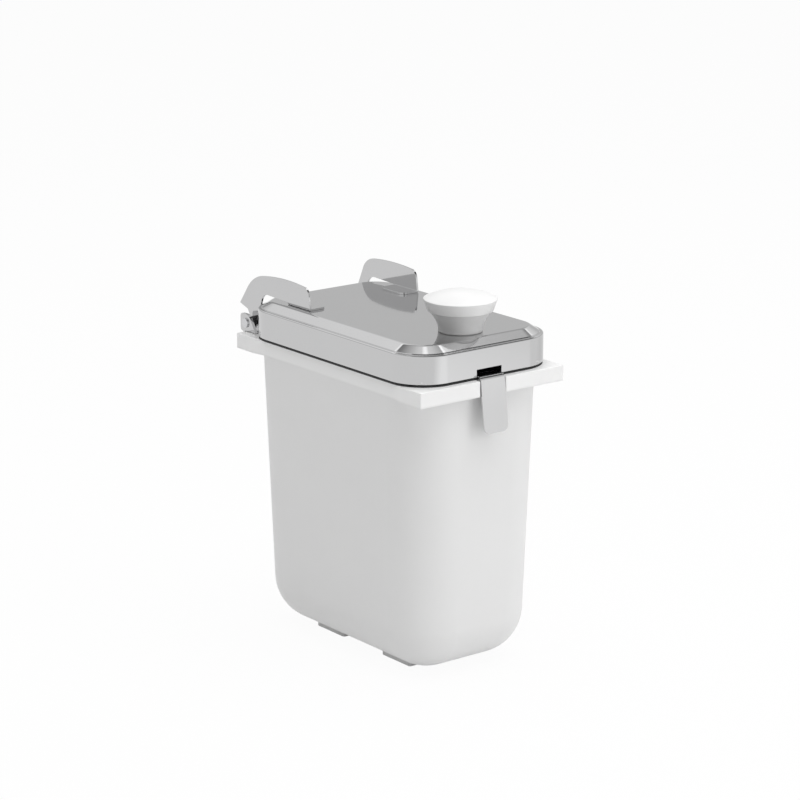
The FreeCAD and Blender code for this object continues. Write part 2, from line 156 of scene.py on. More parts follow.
class Shader:
    """One node tree, of a material or the world, with a single method that adds any node."""

    def __init__(self, owner: "bpy.types.Material | bpy.types.World") -> None:
        """Empties the owner's tree.

        Args:
            owner: the material or world to build.
        """
        owner.use_nodes = True
        self.tree = owner.node_tree
        self.tree.nodes.clear()

    def node(self, kind: str, settings: "dict | None" = None, **inputs: Input) -> bpy.types.Node:
        """Adds a node.

        Args:
            kind: the node's type.
            settings: attributes, set before the sockets; "stops" fills a colour ramp.
            inputs: socket values or links, by socket name with underscores, or by number as i0, i1.

        Returns:
            The new node.
        """
        node = self.tree.nodes.new(kind)
        for name, value in (settings or {}).items():
            if name == "stops":
                self._stops(node, value)
            else:
                setattr(node, name, value)
        for name, value in inputs.items():
            socket = self.socket(node, name)
            if isinstance(value, Value):
                self.tree.links.new(value.socket, socket)
            elif isinstance(value, bpy.types.NodeSocket):
                self.tree.links.new(value, socket)
            else:
                socket.default_value = value
        return node

    @staticmethod
    def socket(node: bpy.types.Node, name: str) -> bpy.types.NodeSocket:
        """Finds an input by name, or by number for names such as i1.

        Args:
            node: the node.
            name: the socket's name with underscores for spaces, or i and its number.

        Returns:
            The socket.
        """
        if name[0] == "i" and name[1:].isdigit():
            return node.inputs[int(name[1:])]
        return node.inputs[name.replace("_", " ")]

    @staticmethod
    def _stops(node: bpy.types.Node, stops: Sequence[tuple[float, float]]) -> None:
        """Fills a colour ramp with grey stops.

        Args:
            node: the ramp.
            stops: position and grey level of each stop.
        """
        ramp = node.color_ramp
        while len(ramp.elements) > 1:
            ramp.elements.remove(ramp.elements[-1])
        ramp.elements[0].position = stops[0][0]
        ramp.elements[0].color = (stops[0][1],) * 3 + (1.0,)
        for position, grey in stops[1:]:
            ramp.elements.new(position).color = (grey,) * 3 + (1.0,)

    def value(self, node: bpy.types.Node, output: "int | str" = 0) -> Value:
        """One output of a node as a Value."""
        return Value(self.tree, node.outputs[output])

    def noise(self, scale: float, detail: float, stretch: Sequence[float] = (1.0, 1.0, 1.0)) -> Value:
        """Noise on object coordinates.

        Args:
            scale: features per metre.
            detail: octaves.
            stretch: how the pattern is squeezed along X, Y and Z.

        Returns:
            The noise, about 0.5 on average.
        """
        place = self.node("ShaderNodeTexCoord")
        turned = self.node("ShaderNodeMapping", Vector=place.outputs["Object"], Scale=tuple(stretch))
        noise = self.node("ShaderNodeTexNoise", Vector=turned.outputs[0], Scale=scale, Detail=detail)
        return self.value(noise)

    def blend(self, factor: Value, low: "tuple | bpy.types.NodeSocket", high: tuple) -> bpy.types.NodeSocket:
        """Mix of two colours.

        Args:
            factor: share of the second colour.
            low: first colour, or the socket that gives it.
            high: second colour.

        Returns:
            The mixed colour's socket.
        """
        start = (*low, 1.0) if isinstance(low, tuple) else low
        mix = self.node("ShaderNodeMix", {"data_type": "RGBA"}, i0=factor, i6=start, i7=(*high, 1.0))
        return mix.outputs[2]


# Finishes


@dataclass(frozen=True)
class MouldedPlastic:
    """Injection-moulded plastic: satin, with fine grain, faint flow clouds and light scuffs. Above a set
    level it is painted paler, painted light that makes the flange brighter than the shadier wall below."""

    name: str = "moulded_white"
    slot: str = "white_plastic"
    light: tuple = (0.842, 0.842, 0.840)
    dark: tuple = (0.815, 0.815, 0.814)
    roughness: float = 0.42
    spread: float = 0.10
    grain_scale: float = 1500.0
    grain_detail: float = 2.0
    grain_depth: float = 0.012
    cloud_scale: float = 18.0
    cloud_detail: float = 4.0
    cloud_share: float = 0.7
    cloud_height: float = 0.6
    scuff_scale: float = 240.0
    scuff_detail: float = 6.0
    scuff_stretch: tuple = (1.0, 1.0, 0.35)
    scuff_from: float = 0.62
    scuff_contrast: float = 6.0
    scuff_roughness: float = 0.08
    relief: float = 0.0004
    refraction: float = 1.49
    # Painted light: level, tone and blend width of the paler band painted on the flange.
    painted_light_above: float = 10.0
    painted_light_tone: tuple = (0.925, 0.925, 0.923)
    painted_light_fade: float = 0.0015

    def material(self) -> bpy.types.Material:
        """Builds the material.

        Returns:
            The material.
        """
        made = bpy.data.materials.new(self.name)
        shader = Shader(made)
        clouds = shader.noise(self.cloud_scale, self.cloud_detail)
        scuffs = shader.noise(self.scuff_scale, self.scuff_detail, self.scuff_stretch)
        grain = shader.noise(self.grain_scale, self.grain_detail)
        worn = ((scuffs - self.scuff_from) * self.scuff_contrast).clamped()
        tone = (clouds * self.cloud_share + scuffs * (1 - self.cloud_share)).clamped()
        # Painted light: above the set level the colour turns to the paler tone, so the flange reads brighter
        # than the wall.
        place = shader.node("ShaderNodeTexCoord")
        height = shader.value(shader.node("ShaderNodeSeparateXYZ", Vector=place.outputs["Object"]), "Z")
        painted_light_share = ((height - self.painted_light_above) * (1 / self.painted_light_fade)).clamped()
        colour = shader.blend(painted_light_share, shader.blend(tone, self.dark, self.light), self.painted_light_tone)
        rough = (clouds - 0.5) * self.spread + worn * self.scuff_roughness + self.roughness
        bump = shader.node("ShaderNodeBump", Height=grain + clouds * self.cloud_height,
                           Strength=self.grain_depth, Distance=self.relief)
        surface = shader.node("ShaderNodeBsdfPrincipled", Base_Color=colour, Roughness=rough,
                              Normal=bump.outputs[0], IOR=self.refraction)
        shader.node("ShaderNodeOutputMaterial", Surface=surface.outputs[0])
        return made


@dataclass(frozen=True)
class PolishedSteel:
    """Polished stainless sheet: near-mirror, with directional polishing marks and faint haze."""

    name: str = "polished_sheet"
    slot: str = "polished_steel"
    light: tuple = (0.60, 0.60, 0.602)
    dark: tuple = (0.555, 0.555, 0.56)
    roughness: float = 0.04
    haze: float = 0.05
    marks: Axis = Axis.ALONG_X
    mark_depth: float = 0.008
    mark_scale: float = 1500.0
    mark_detail: float = 4.0
    mark_roughness: float = 0.05
    haze_scale: float = 26.0
    haze_detail: float = 5.0
    wipe_scale: float = 70.0
    wipe_detail: float = 5.0
    wipe_stretch: tuple = (1.0, 0.4, 1.0)
    wipe_from: float = 0.55
    wipe_contrast: float = 4.0
    wipe_roughness: float = 0.03
    relief: float = 0.0002

    def material(self) -> bpy.types.Material:
        """Builds the material.

        Returns:
            The material.
        """
        made = bpy.data.materials.new(self.name)
        shader = Shader(made)
        lines = shader.noise(self.mark_scale, self.mark_detail, self.marks.value)
        haze = shader.noise(self.haze_scale, self.haze_detail)
        smears = shader.noise(self.wipe_scale, self.wipe_detail, self.wipe_stretch)
        wipes = ((smears - self.wipe_from) * self.wipe_contrast).clamped()
        colour = shader.blend(((lines + haze) * 0.5).clamped(), self.dark, self.light)
        rough = (self.roughness + haze * self.haze + wipes * self.wipe_roughness
                 + (lines - 0.5) * self.mark_roughness)
        bump = shader.node("ShaderNodeBump", Height=lines, Strength=self.mark_depth, Distance=self.relief)
        surface = shader.node("ShaderNodeBsdfPrincipled", Base_Color=colour, Metallic=1.0,
                              Roughness=rough.clamped(), Normal=bump.outputs[0])
        shader.node("ShaderNodeOutputMaterial", Surface=surface.outputs[0])
        return made


# Mesh tools


@dataclass
class Ring:
    """A closed loop of points with the surface's normal at each."""

    points: list[Vector]
    normals: list[Vector]


@dataclass
class Shell:
    """A closed surface built from rings and caps, with its exact normals kept at each face corner."""

    points: list[Vector] = field(default_factory=list)
    faces: list[list[int]] = field(default_factory=list)
    normals: list[list[Vector]] = field(default_factory=list)
    keep_inside: int = 2
    tolerance: float = 1e-6

    def ring(self, ring: Ring) -> list[int]:
        """Adds a ring's points.

        Args:
            ring: the ring.

        Returns:
            The points' numbers.
        """
        start = len(self.points)
        self.points += ring.points
        return list(range(start, len(self.points)))

    def bridge(self, low: list[int], low_ring: Ring, high: list[int], high_ring: Ring,
               skip: "Iterable[int]" = ()) -> None:
        """Joins two rings with quads that face the side on which low runs anticlockwise below high.

        Args:
            low: numbers of the lower ring's points.
            low_ring: the lower ring.
            high: numbers of the upper ring's points.
            high_ring: the upper ring.
            skip: columns left open.
        """
        count = len(low)
        skipped = set(skip)
        for a in range(count):
            if a in skipped:
                continue
            b = (a + 1) % count
            self.faces.append([low[a], low[b], high[b], high[a]])
            self.normals.append([low_ring.normals[a], low_ring.normals[b],
                                 high_ring.normals[b], high_ring.normals[a]])

    def loft(self, rings: Sequence[Ring],
             skip: "Callable[[int], Iterable[int]]" = lambda level: ()) -> list[list[int]]:
        """Joins rings in order.

        Args:
            rings: the rings, each with as many points.
            skip: gives the columns left open between one ring and the next.

        Returns:
            The rings' point numbers.
        """
        numbers = [self.ring(ring) for ring in rings]
        for level in range(len(rings) - 1):
            self.bridge(numbers[level], rings[level], numbers[level + 1], rings[level + 1], skip(level))
        return numbers

    def cap(self, loops: Sequence[list[int]], normal: Vector) -> None:
        """Fills the area inside the first loop and outside the others.

        Args:
            loops: point numbers, the outer loop first.
            normal: the flat face's normal.
        """
        if len(loops) == 1:
            self._add_flat([list(loops[0])], normal)
            return
        flat: list[int] = []
        outlines: list[list[int]] = []
        for loop in loops:
            numbers = list(range(len(flat), len(flat) + len(loop)))
            flat += loop
            corners = [self.points[number] for number in loop]
            area = sum(a.x * b.y - b.x * a.y for a, b in zip(corners, corners[1:] + corners[:1]))
            outlines.append(numbers if area > 0 else numbers[::-1])
        places = [self.points[number].to_2d() for number in flat]
        kept, _, triangles, origins, _, _ = delaunay_2d_cdt(places, [], outlines, self.keep_inside,
                                                            self.tolerance)
        if len(kept) != len(places):
            raise ValueError("a flat face has crossing or doubled points")
        found = [flat[origin[0]] for origin in origins]
        self._add_flat([[found[index] for index in triangle] for triangle in triangles], normal)

    def _add_flat(self, faces: list[list[int]], normal: Vector) -> None:
        """Adds faces turned to the normal.

        Args:
            faces: point numbers of each face.
            normal: the faces' normal.
        """
        for face in faces:
            area = Vector((0, 0, 0))
            origin = self.points[face[0]]
            for a, b in zip(face[1:], face[2:]):
                area += (self.points[a] - origin).cross(self.points[b] - origin)
            ordered = face if area.dot(normal) > 0 else face[::-1]
            self.faces.append(ordered)
            self.normals.append([normal] * len(ordered))

    def quad(self, corners: Sequence[int], normal: Vector) -> None:
        """Adds one flat face turned to the normal."""
        self._add_flat([list(corners)], normal)

    def to_object(self, name: str, material: bpy.types.Material) -> bpy.types.Object:
        """Makes the object.

        Args:
            name: the piece's name.
            material: its finish.

        Returns:
            The new object, at the origin.
        """
        mesh = bpy.data.meshes.new(name)
        mesh.from_pydata([point * MM for point in self.points], [], self.faces)
        mesh.materials.append(material)
        mesh.polygons.foreach_set("use_smooth", [True] * len(mesh.polygons))
        corner_normals = [tuple(normal) for face in self.normals for normal in face]
        mesh.normals_split_custom_set(corner_normals)
        mesh.update()
        made = bpy.data.objects.new(name, mesh)
        bpy.context.scene.collection.objects.link(made)
        return made


@dataclass(frozen=True)
class ProfilePoint:
    """A point of a cross-section: how far in, how high, and which way the surface faces."""

    inset: float
    height: float
    out: float
    up: float


def rounded_profile(corners: Sequence[Point2], radii: Sequence[float], steps: int) -> list[ProfilePoint]:
    """Runs along an open line of (inset, height) corners, rounding each one.

    Args:
        corners: the line's corners, going up the outside and inwards over the top.
        radii: a radius for each inner corner.
        steps: chords per rounding.

    Returns:
        Points with normals; the surface faces left of the way the line runs in inset, height.
    """
    def facing(a: Point2, b: Point2) -> Point2:
        """Outward and upward shares of the normal between two corners."""
        length = math.hypot(b[0] - a[0], b[1] - a[1])
        return (b[1] - a[1]) / length, (b[0] - a[0]) / length

    out, up = facing(corners[0], corners[1])
    found = [ProfilePoint(*corners[0], out, up)]
    for index in range(1, len(corners) - 1):
        before, here, after = corners[index - 1], corners[index], corners[index + 1]
        n0, n1 = facing(before, here), facing(here, after)
        start_angle = math.atan2(n0[1], n0[0])
        turn = (math.atan2(n1[1], n1[0]) - start_angle + math.pi) % (2 * math.pi) - math.pi
        radius = radii[index - 1]
        side = 1.0 if turn > 0 else -1.0
        run = radius * abs(math.tan(turn / 2))
        length = math.hypot(here[0] - before[0], here[1] - before[1])
        touch = (here[0] + (before[0] - here[0]) * run / length,
                 here[1] + (before[1] - here[1]) * run / length)
        centre = (touch[0] + side * radius * n0[0], touch[1] - side * radius * n0[1])
        for step in range(steps + 1):
            angle = start_angle + turn * step / steps
            o, u = math.cos(angle), math.sin(angle)
            found.append(ProfilePoint(centre[0] - side * radius * o, centre[1] + side * radius * u, o, u))
    out, up = facing(corners[-2], corners[-1])
    found.append(ProfilePoint(*corners[-1], out, up))
    return found


@dataclass(frozen=True)
class RoundedPlan:
    """Rectangle in plan with rounded corners; its points run anticlockwise from the front right corner."""

    half_x: float
    front: float
    back: float
    radius: float
    centre_y: float = 0.0
    corner_steps: int = 16
    side_breaks: tuple = (-0.25, 0.0, 0.25)
    front_breaks: tuple = ()
    least_radius: float = 0.05

    def ring(self, inset: float, height: float, out: float, up: float, keep_radius: float = 0.0) -> Ring:
        """The outline drawn in by the inset at a height.

        Args:
            inset: how far in from the outline.
            height: level of the ring.
            out: share of the normal that points outwards.
            up: share of the normal that points upwards.
            keep_radius: part of the inset that leaves the corner radius as it is.

        Returns:
            The ring.
        """
        x = self.half_x - inset
        y0 = self.front + inset
        y1 = self.back - inset
        radius = max(self.radius - (inset - keep_radius), self.least_radius)
        points, normals = [], []

        def add(px: float, py: float, angle: float) -> None:
            """Adds a point that faces the angle."""
            points.append(Vector((px, py + self.centre_y, height)))
            normals.append(Vector((math.cos(angle) * out, math.sin(angle) * out, up)).normalized())

        corners = ((x - radius, y0 + radius, -90.0), (x - radius, y1 - radius, 0.0),
                   (radius - x, y1 - radius, 90.0), (radius - x, y0 + radius, 180.0))
        middle, length, width = (y0 + y1) / 2, y1 - y0 - 2 * radius, 2 * x - 2 * radius
        sides = ([(x, middle + share * length) for share in self.side_breaks],
                 [(-share * width, y1) for share in self.side_breaks],
                 [(-x, middle - share * length) for share in self.side_breaks],
                 [(place, y0) for place in self.front_breaks])
        for (cx, cy, start), side in zip(corners, sides):
            for step in range(self.corner_steps + 1):
                angle = math.radians(start + 90.0 * step / self.corner_steps)
                add(cx + radius * math.cos(angle), cy + radius * math.sin(angle), angle)
            for px, py in side:
                add(px, py, math.radians(start + 90.0))
        return Ring(points, normals)


def outline_ring(outline: Sequence[Point2], inset: float, height: float, out: float, up: float,
                 sharpest: float = 0.35) -> Ring:
    """Ring of any closed outline, moved inwards along its own normals.

    Args:
        outline: anticlockwise points.
        inset: how far in.
        height: level of the ring.
        out: share of the normal that points outwards.
        up: share of the normal that points upwards.
        sharpest: least cosine that a corner's inset is worked out with.

    Returns:
        The ring.
    """
    count = len(outline)
    points, normals = [], []
    for index, (x, y) in enumerate(outline):
        ways = []
        for a, b in ((outline[index - 1], (x, y)), ((x, y), outline[(index + 1) % count])):
            ways.append(Vector((b[1] - a[1], a[0] - b[0], 0.0)))
        normal = (ways[0] + ways[1]).normalized()
        reach = inset / max(sharpest, normal.dot(ways[1].normalized()))
        points.append(Vector((x - normal.x * reach, y - normal.y * reach, height)))
        normals.append(Vector((normal.x * out, normal.y * out, up)).normalized())
    return Ring(points, normals)


def arc(cx: float, cy: float, radius: float, start: float, end: float, steps: int) -> list[Point2]:
    """Points on an arc.

    Args:
        cx: the centre's x.
        cy: the centre's y.
        radius: the arc's radius.
        start: first angle in degrees.
        end: last angle in degrees.
        steps: chords.

    Returns:
        The points.
    """
    return [(cx + radius * math.cos(math.radians(start + (end - start) * step / steps)),
             cy + radius * math.sin(math.radians(start + (end - start) * step / steps)))
            for step in range(steps + 1)]


def softened(made: bpy.types.Object, edge: float) -> bpy.types.Object:
    """Breaks an object's sharp edges.

    Args:
        made: the object.
        edge: width of the broken edges in millimetres.

    Returns:
        The same object.
    """
    made.data.polygons.foreach_set("use_smooth", [True] * len(made.data.polygons))
    bevel = made.modifiers.new("edges", "BEVEL")
    bevel.width = edge * MM
    bevel.segments = EDGE_STEPS
    bevel.limit_method = "ANGLE"
    bevel.angle_limit = SHARP_FROM
    bevel.harden_normals = True
    bevel.use_clamp_overlap = True
    return applied(made)


def refined(node: str, name: str, material: bpy.types.Material, edge: float,
            reshape: "Callable[[Vector], Vector] | None" = None) -> bpy.types.Object:
    """Copy of a CAD node with its flat faces made whole and its sharp edges softly broken.

    Args:
        node: the CAD node.
        name: the new piece's name.
        material: its finish.
        edge: width of the broken edges in millimetres.
        reshape: moves a point of the copy, in millimetres.

    Returns:
        The new object.
    """
    source = frame["nodes"][node]
    work = bmesh.new()
    work.from_mesh(source.data)
    if reshape is not None:
        for vert in work.verts:
            vert.co = reshape(vert.co / MM) * MM
    bmesh.ops.remove_doubles(work, verts=work.verts, dist=WELD)
    bmesh.ops.dissolve_limit(work, angle_limit=FLAT_WITHIN, verts=work.verts, edges=work.edges,
                             use_dissolve_boundaries=False)
    mesh = bpy.data.meshes.new(name)
    work.to_mesh(mesh)
    work.free()
    leftover = mesh.attributes.get("custom_normal")
    if leftover is not None:
        mesh.attributes.remove(leftover)
    mesh.materials.clear()
    mesh.materials.append(material)
    made = bpy.data.objects.new(name, mesh)
    bpy.context.scene.collection.objects.link(made)
    return softened(made, edge)


def applied(made: bpy.types.Object) -> bpy.types.Object:
    """Turns an object's modifiers into plain mesh.

    Args:
        made: the object.

    Returns:
        The same object, without modifiers.
    """
    depsgraph = bpy.context.evaluated_depsgraph_get()
    mesh = bpy.data.meshes.new_from_object(made.evaluated_get(depsgraph), depsgraph=depsgraph)
    mesh.name = made.name
    old = made.data
    made.modifiers.clear()
    made.data = mesh
    bpy.data.meshes.remove(old)
    return made


def placed(made: bpy.types.Object, body: Body, slot: str, *nodes: str) -> bpy.types.Object:
    """Lets a piece ride on a body and stand for CAD nodes.

    Args:
        made: the piece.
        body: the body that it rides on.
        slot: its finish slot; not used.
        nodes: the CAD nodes that it stands for.

    Returns:
        The same piece.
    """
    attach(made, body.value)
    if nodes:
        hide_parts(*nodes)
    LOG.info("%s: %d faces on %s", made.name, len(made.data.polygons), body.value)
    return made


class GeometryTree:
    """A Geometry Nodes tree with named inputs that ends in plain mesh with its finish on."""

    def __init__(self, name: str, sizes: "dict[str, int | float | tuple]") -> None:
        """Opens the tree.

        Args:
            name: the tree's name.
            sizes: the named inputs and their values, in metres where they are lengths.
        """
        self.sizes = sizes
        self.tree = bpy.data.node_groups.new(name, "GeometryNodeTree")
        face = self.tree.interface
        face.new_socket(name="Base", in_out="INPUT", socket_type="NodeSocketGeometry")
        kinds = {int: "NodeSocketInt", float: "NodeSocketFloat", tuple: "NodeSocketVector"}
        for label, size in sizes.items():
            face.new_socket(name=label, in_out="INPUT", socket_type=kinds[type(size)])
        face.new_socket(name="Finish", in_out="INPUT", socket_type="NodeSocketMaterial")
        face.new_socket(name="Result", in_out="OUTPUT", socket_type="NodeSocketGeometry")
        self.start = self.tree.nodes.new("NodeGroupInput")

    def given(self, name: str) -> bpy.types.NodeSocket:
        """One of the tree's named inputs."""
        return self.start.outputs[name]

    def node(self, kind: str, settings: "dict | None" = None, **inputs: object) -> bpy.types.NodeSocket:
        """Adds a node.

        Args:
            kind: the node's type.
            settings: attributes, set before the sockets.
            inputs: socket values or links, by socket name with underscores, or by number as i0, i1.

        Returns:
            The node's first output.
        """
        node = self.tree.nodes.new(kind)
        for name, value in (settings or {}).items():
            setattr(node, name, value)
        for name, value in inputs.items():
            socket = Shader.socket(node, name)
            for part in value if isinstance(value, list) else [value]:
                if isinstance(part, bpy.types.NodeSocket):
                    self.tree.links.new(part, socket)
                else:
                    socket.default_value = part
        return node.outputs[0]

    def made(self, result: bpy.types.NodeSocket, base: bpy.types.Mesh, name: str,
             finish: bpy.types.Material) -> bpy.types.Object:
        """Closes the tree, runs it on a base mesh and keeps the plain result.

        Args:
            result: the socket that holds the finished geometry.
            base: the mesh that the tree starts from.
            name: the piece's name.
            finish: its material.

        Returns:
            The new object.
        """
        real = self.node("GeometryNodeRealizeInstances", i0=result)
        dressed = self.node("GeometryNodeSetMaterial", i0=real, Material=self.given("Finish"))
        self.tree.links.new(dressed, self.tree.nodes.new("NodeGroupOutput").inputs[0])
        made = bpy.data.objects.new(name, base)
        bpy.context.scene.collection.objects.link(made)
        modifier = made.modifiers.new("shape", "NODES")
        modifier.node_group = self.tree
        values = {**self.sizes, "Finish": finish}
        for socket in self.tree.interface.items_tree:
            if socket.in_out == "INPUT" and socket.name in values:
                modifier[socket.identifier] = values[socket.name]
        return applied(made)


# Sub-assemblies


@dataclass
class BlockRow:
    """Equal upright blocks with rounded corners, one at each place: the jar's ribs or feet."""

    name: str
    width: float
    length: float
    height: float
    corner: float
    places: Sequence[Vector]
    corner_steps: int = 6
    edge_share: float = 0.25

    def build(self, finish: MouldedPlastic, material: bpy.types.Material) -> bpy.types.Object:
        """Builds the blocks.

        Args:
            finish: the jar's finish.
            material: its material.

        Returns:
            The blocks as one piece.
        """
        tree = GeometryTree(self.name + "_row", {
            "Width": self.width * MM, "Length": self.length * MM, "Height": self.height * MM,
            "Corner radius": self.corner * MM, "Corner steps": self.corner_steps})
        plan = tree.node("GeometryNodeCurvePrimitiveQuadrilateral", Width=tree.given("Width"),
                         Height=tree.given("Length"))
        plan = tree.node("GeometryNodeFilletCurve", {"mode": "POLY"}, i0=plan,
                         Count=tree.given("Corner steps"), Radius=tree.given("Corner radius"))
        face = tree.node("GeometryNodeFillCurve", {"mode": "NGONS"}, i0=plan)
        sides = tree.node("GeometryNodeExtrudeMesh", Mesh=face, Offset_Scale=tree.given("Height"),
                          Individual=False)
        under = tree.node("GeometryNodeFlipFaces", i0=face)
        block = tree.node("GeometryNodeJoinGeometry", i0=[sides, under])
        block = tree.node("GeometryNodeMergeByDistance", i0=block, Distance=WELD)
        copies = tree.node("GeometryNodeInstanceOnPoints", Points=tree.given("Base"), Instance=block)
        base = bpy.data.meshes.new(self.name)
        base.from_pydata([place * MM for place in self.places], [], [])
        made = tree.made(copies, base, self.name, material)
        return placed(softened(made, self.corner * self.edge_share), Body.JAR, finish.slot, "jar")


@dataclass
class Jar:
    """White moulded jar: drafted tub, flange with ears and notch, pockets, ribs and feet."""

    finish: MouldedPlastic
    height: float
    half_x: float
    half_y: float
    centre_y: float
    wall: float = 2.6
    flange: float = 10.8
    side_inset: float = 2.4
    end_inset: float = 6.7
    draft: float = 0.027
    corner: float = 34.0
    floor_round: float = 33.5
    foot_height: float = 3.0
    ear_flat: float = 17.0
    ear_blend: float = 17.5
    side_band: float = 0.3
    end_band: float = 0.3
    ear_corner: float = 1.0
    edge: float = 0.6
    low_edge: float = 0.2
    notch_half: float = 10.8
    notch_round: float = 1.0
    notch_inner_round: float = 0.3
    roof: float = 3.0
    skin: float = 2.4
    pocket_start: float = 17.7
    pocket_end: float = 6.0
    rib_count: int = 3
    rib: float = 1.8
    rib_bite: float = 0.2
    rib_corner: float = 0.3
    foot_width: float = 14.0
    foot_length: float = 32.0
    foot_setback: float = 31.2
    foot_middle_share: float = 0.362
    foot_corner: float = 2.0
    foot_bite: float = 2.3
    lip_round: float = 0.9
    corner_steps: int = 18
    floor_steps: int = 16
    wall_steps: int = 8
    lip_steps: int = 5
    edge_steps: int = 3
    blend_steps: int = 12
    notch_steps: int = 8
    ear_steps: int = 5
    rib_corner_steps: int = 2

    @property
    def underside(self) -> float:
        """Level of the flange's underside."""
        return self.height - self.flange

    def plan(self) -> RoundedPlan:
        """The tub's outline at the flange's underside.

        Returns:
            The outline.
        """
        x = self.half_x - self.side_inset
        y = self.half_y - self.end_inset
        return RoundedPlan(x, -y, y, self.corner, self.centre_y, self.corner_steps, ())

    def wall_rings(self, depth: float, top: float, floor: float, rounding: float) -> list[Ring]:
        """Rings over the tub's rounded floor edge and up one side of its wall.

        Args:
            depth: how far inside the outer wall.
            top: level of the last ring.
            floor: level of the floor.
            rounding: radius of the floor's edge.

        Returns:
            The rings, from the floor up.
        """
        plan = self.plan()
        lean = math.atan(self.draft)
        centre_z = floor + rounding
        touch_z = centre_z - rounding * math.sin(lean)
        touch = depth + (self.underside - touch_z) * self.draft
        centre = touch + rounding * math.cos(lean)
        rings = []
        for step in range(self.floor_steps + 1):
            angle = math.pi / 2 + (lean - math.pi / 2) * step / self.floor_steps
            inset = centre - rounding * math.cos(angle)
            rings.append(plan.ring(inset, centre_z - rounding * math.sin(angle), math.cos(angle),
                                   -math.sin(angle), keep_radius=touch - depth))
        for step in range(1, self.wall_steps + 1):
            z = touch_z + (top - touch_z) * step / self.wall_steps
            slip = (self.underside - z) * self.draft
            rings.append(plan.ring(depth + slip, z, math.cos(lean), -math.sin(lean), keep_radius=slip))
        return rings

    def outline(self) -> list[Point2]:
        """The flange's outline, with its ears, the drawn-in sides between them and the notch.

        Returns:
            The outline's points, anticlockwise from the notch's middle.
        """
        x, y = self.half_x, self.half_y
        inner_x = x - self.side_inset + self.side_band
        notch_y = -(y - self.end_inset) - self.end_band
        turn, corner = self.notch_round, self.ear_corner
        start = y - self.ear_flat
        end = start - self.ear_blend
        inner_round = self.notch_inner_round
        blend = []
        for step in range(self.blend_steps + 1):
            share = step / self.blend_steps
            eased = share * share * (3 - 2 * share)
            blend.append((x + (inner_x - x) * eased, -start + (start - end) * share))
        half = self.notch_half
        right = arc(half - inner_round, notch_y - inner_round, inner_round, 90, 0, self.ear_steps)
        right += arc(half + turn, turn - y, turn, 180, 270, self.notch_steps)
        right += arc(x - corner, corner - y, corner, -90, 0, self.ear_steps)
        right += blend + [(px, -py) for px, py in blend[::-1]]
        right += arc(x - corner, y - corner, corner, 0, 90, self.ear_steps)
        left = [(-px, py) for px, py in right[::-1]]
        return [(px, py + self.centre_y) for px, py in right + left]

    def pockets(self) -> list[tuple[float, float, float, float]]:
        """Plan rectangles of the hollows under the flange.

        Returns:
            The left, right, front and back of each, about the jar's middle.
        """
        first = self.pocket_start
        last = self.half_x - self.side_inset - self.pocket_end
        inner = self.half_y - self.end_inset + self.side_band
        outer = self.half_y - self.skin
        found = []
        for side in (-1, 1):
            x0, x1 = sorted((side * first, side * last))
            found += [(x0, x1, -outer, -inner), (x0, x1, inner, outer)]
        return found

    def inner_rings(self) -> list[Ring]:
        """Rings of the tub's inside, from the floor up and over the rounded lip.

        Returns:
            The rings, turned to face inwards.
        """
        rings = self.wall_rings(self.wall, self.height - self.lip_round, self.foot_height + self.wall,
                                self.floor_round - self.wall)
        slip = (self.underside - self.height) * self.draft
        for step in range(1, self.lip_steps + 1):
            angle = math.pi / 2 * step / self.lip_steps
            rings.append(self.plan().ring(self.wall + slip - self.lip_round * (1 - math.cos(angle)),
                                          self.height - self.lip_round * (1 - math.sin(angle)),
                                          math.cos(angle), -math.sin(angle), keep_radius=slip))
        return [Ring(ring.points[::-1], [-normal for normal in ring.normals[::-1]]) for ring in rings]

    def rim_rings(self) -> list[Ring]:
        """Rings up the flange's edge, with its rounded lower and upper corner.

        Returns:
            The rings.
        """
        outline = self.outline()
        rings = []
        for step in range(self.edge_steps + 1):
            angle = math.pi / 2 * (1 - step / self.edge_steps)
            rings.append(outline_ring(outline, self.low_edge * (1 - math.cos(angle)),
                                      self.underside + self.low_edge * (1 - math.sin(angle)),
                                      math.cos(angle), -math.sin(angle)))
        for step in range(self.edge_steps + 1):
            angle = math.pi / 2 * step / self.edge_steps
            rings.append(outline_ring(outline, self.edge * (1 - math.cos(angle)),
                                      self.height - self.edge * (1 - math.sin(angle)),
                                      math.cos(angle), math.sin(angle)))
        return rings

    def build(self) -> list[bpy.types.Object]:
        """Builds the jar and its ribs and feet.

        Returns:
            The moulding, the ribs and the feet.
        """
        material = self.finish.material()
        shell = Shell()
        outer = shell.loft(self.wall_rings(0.0, self.underside, self.foot_height, self.floor_round))
        shell.cap([outer[0]], Vector((0, 0, -1)))
        inner = shell.loft(self.inner_rings())
        shell.cap([inner[0]], Vector((0, 0, 1)))
        rim = shell.loft(self.rim_rings())
        shell.cap([rim[-1], inner[-1]], Vector((0, 0, 1)))
        hollows = [self._pocket(shell, *sides) for sides in self.pockets()]
        shell.cap([rim[0], outer[-1]] + hollows, Vector((0, 0, -1)))
        jar = placed(shell.to_object("jar_moulding", material), Body.JAR, self.finish.slot, "jar")
        rib_length = self.end_inset - self.skin - self.side_band + 2 * self.rib_bite
        ribs = BlockRow("flange_ribs", self.rib, rib_length, self.flange - self.roof, self.rib_corner,
                        self.rib_places(), self.rib_corner_steps)
        feet = BlockRow("jar_feet", self.foot_width, self.foot_length, self.foot_height + self.foot_bite,
                        self.foot_corner, self.foot_places())
        return [jar, ribs.build(self.finish, material), feet.build(self.finish, material)]

    def rib_places(self) -> list[Vector]:
        """Middles of the ribs' lower faces.

        Returns:
            One point for each rib.
        """
        found = []
        for x0, x1, y0, y1 in self.pockets():
            pitch = (x1 - x0 + self.rib) / (self.rib_count + 1)
            start = x0 if x0 > 0 else -x1
            for index in range(1, self.rib_count + 1):
                x = math.copysign(start + index * pitch - self.rib / 2, x0)
                found.append(Vector((x, (y0 + y1) / 2 + self.centre_y, self.underside + self.rib_bite)))
        return found

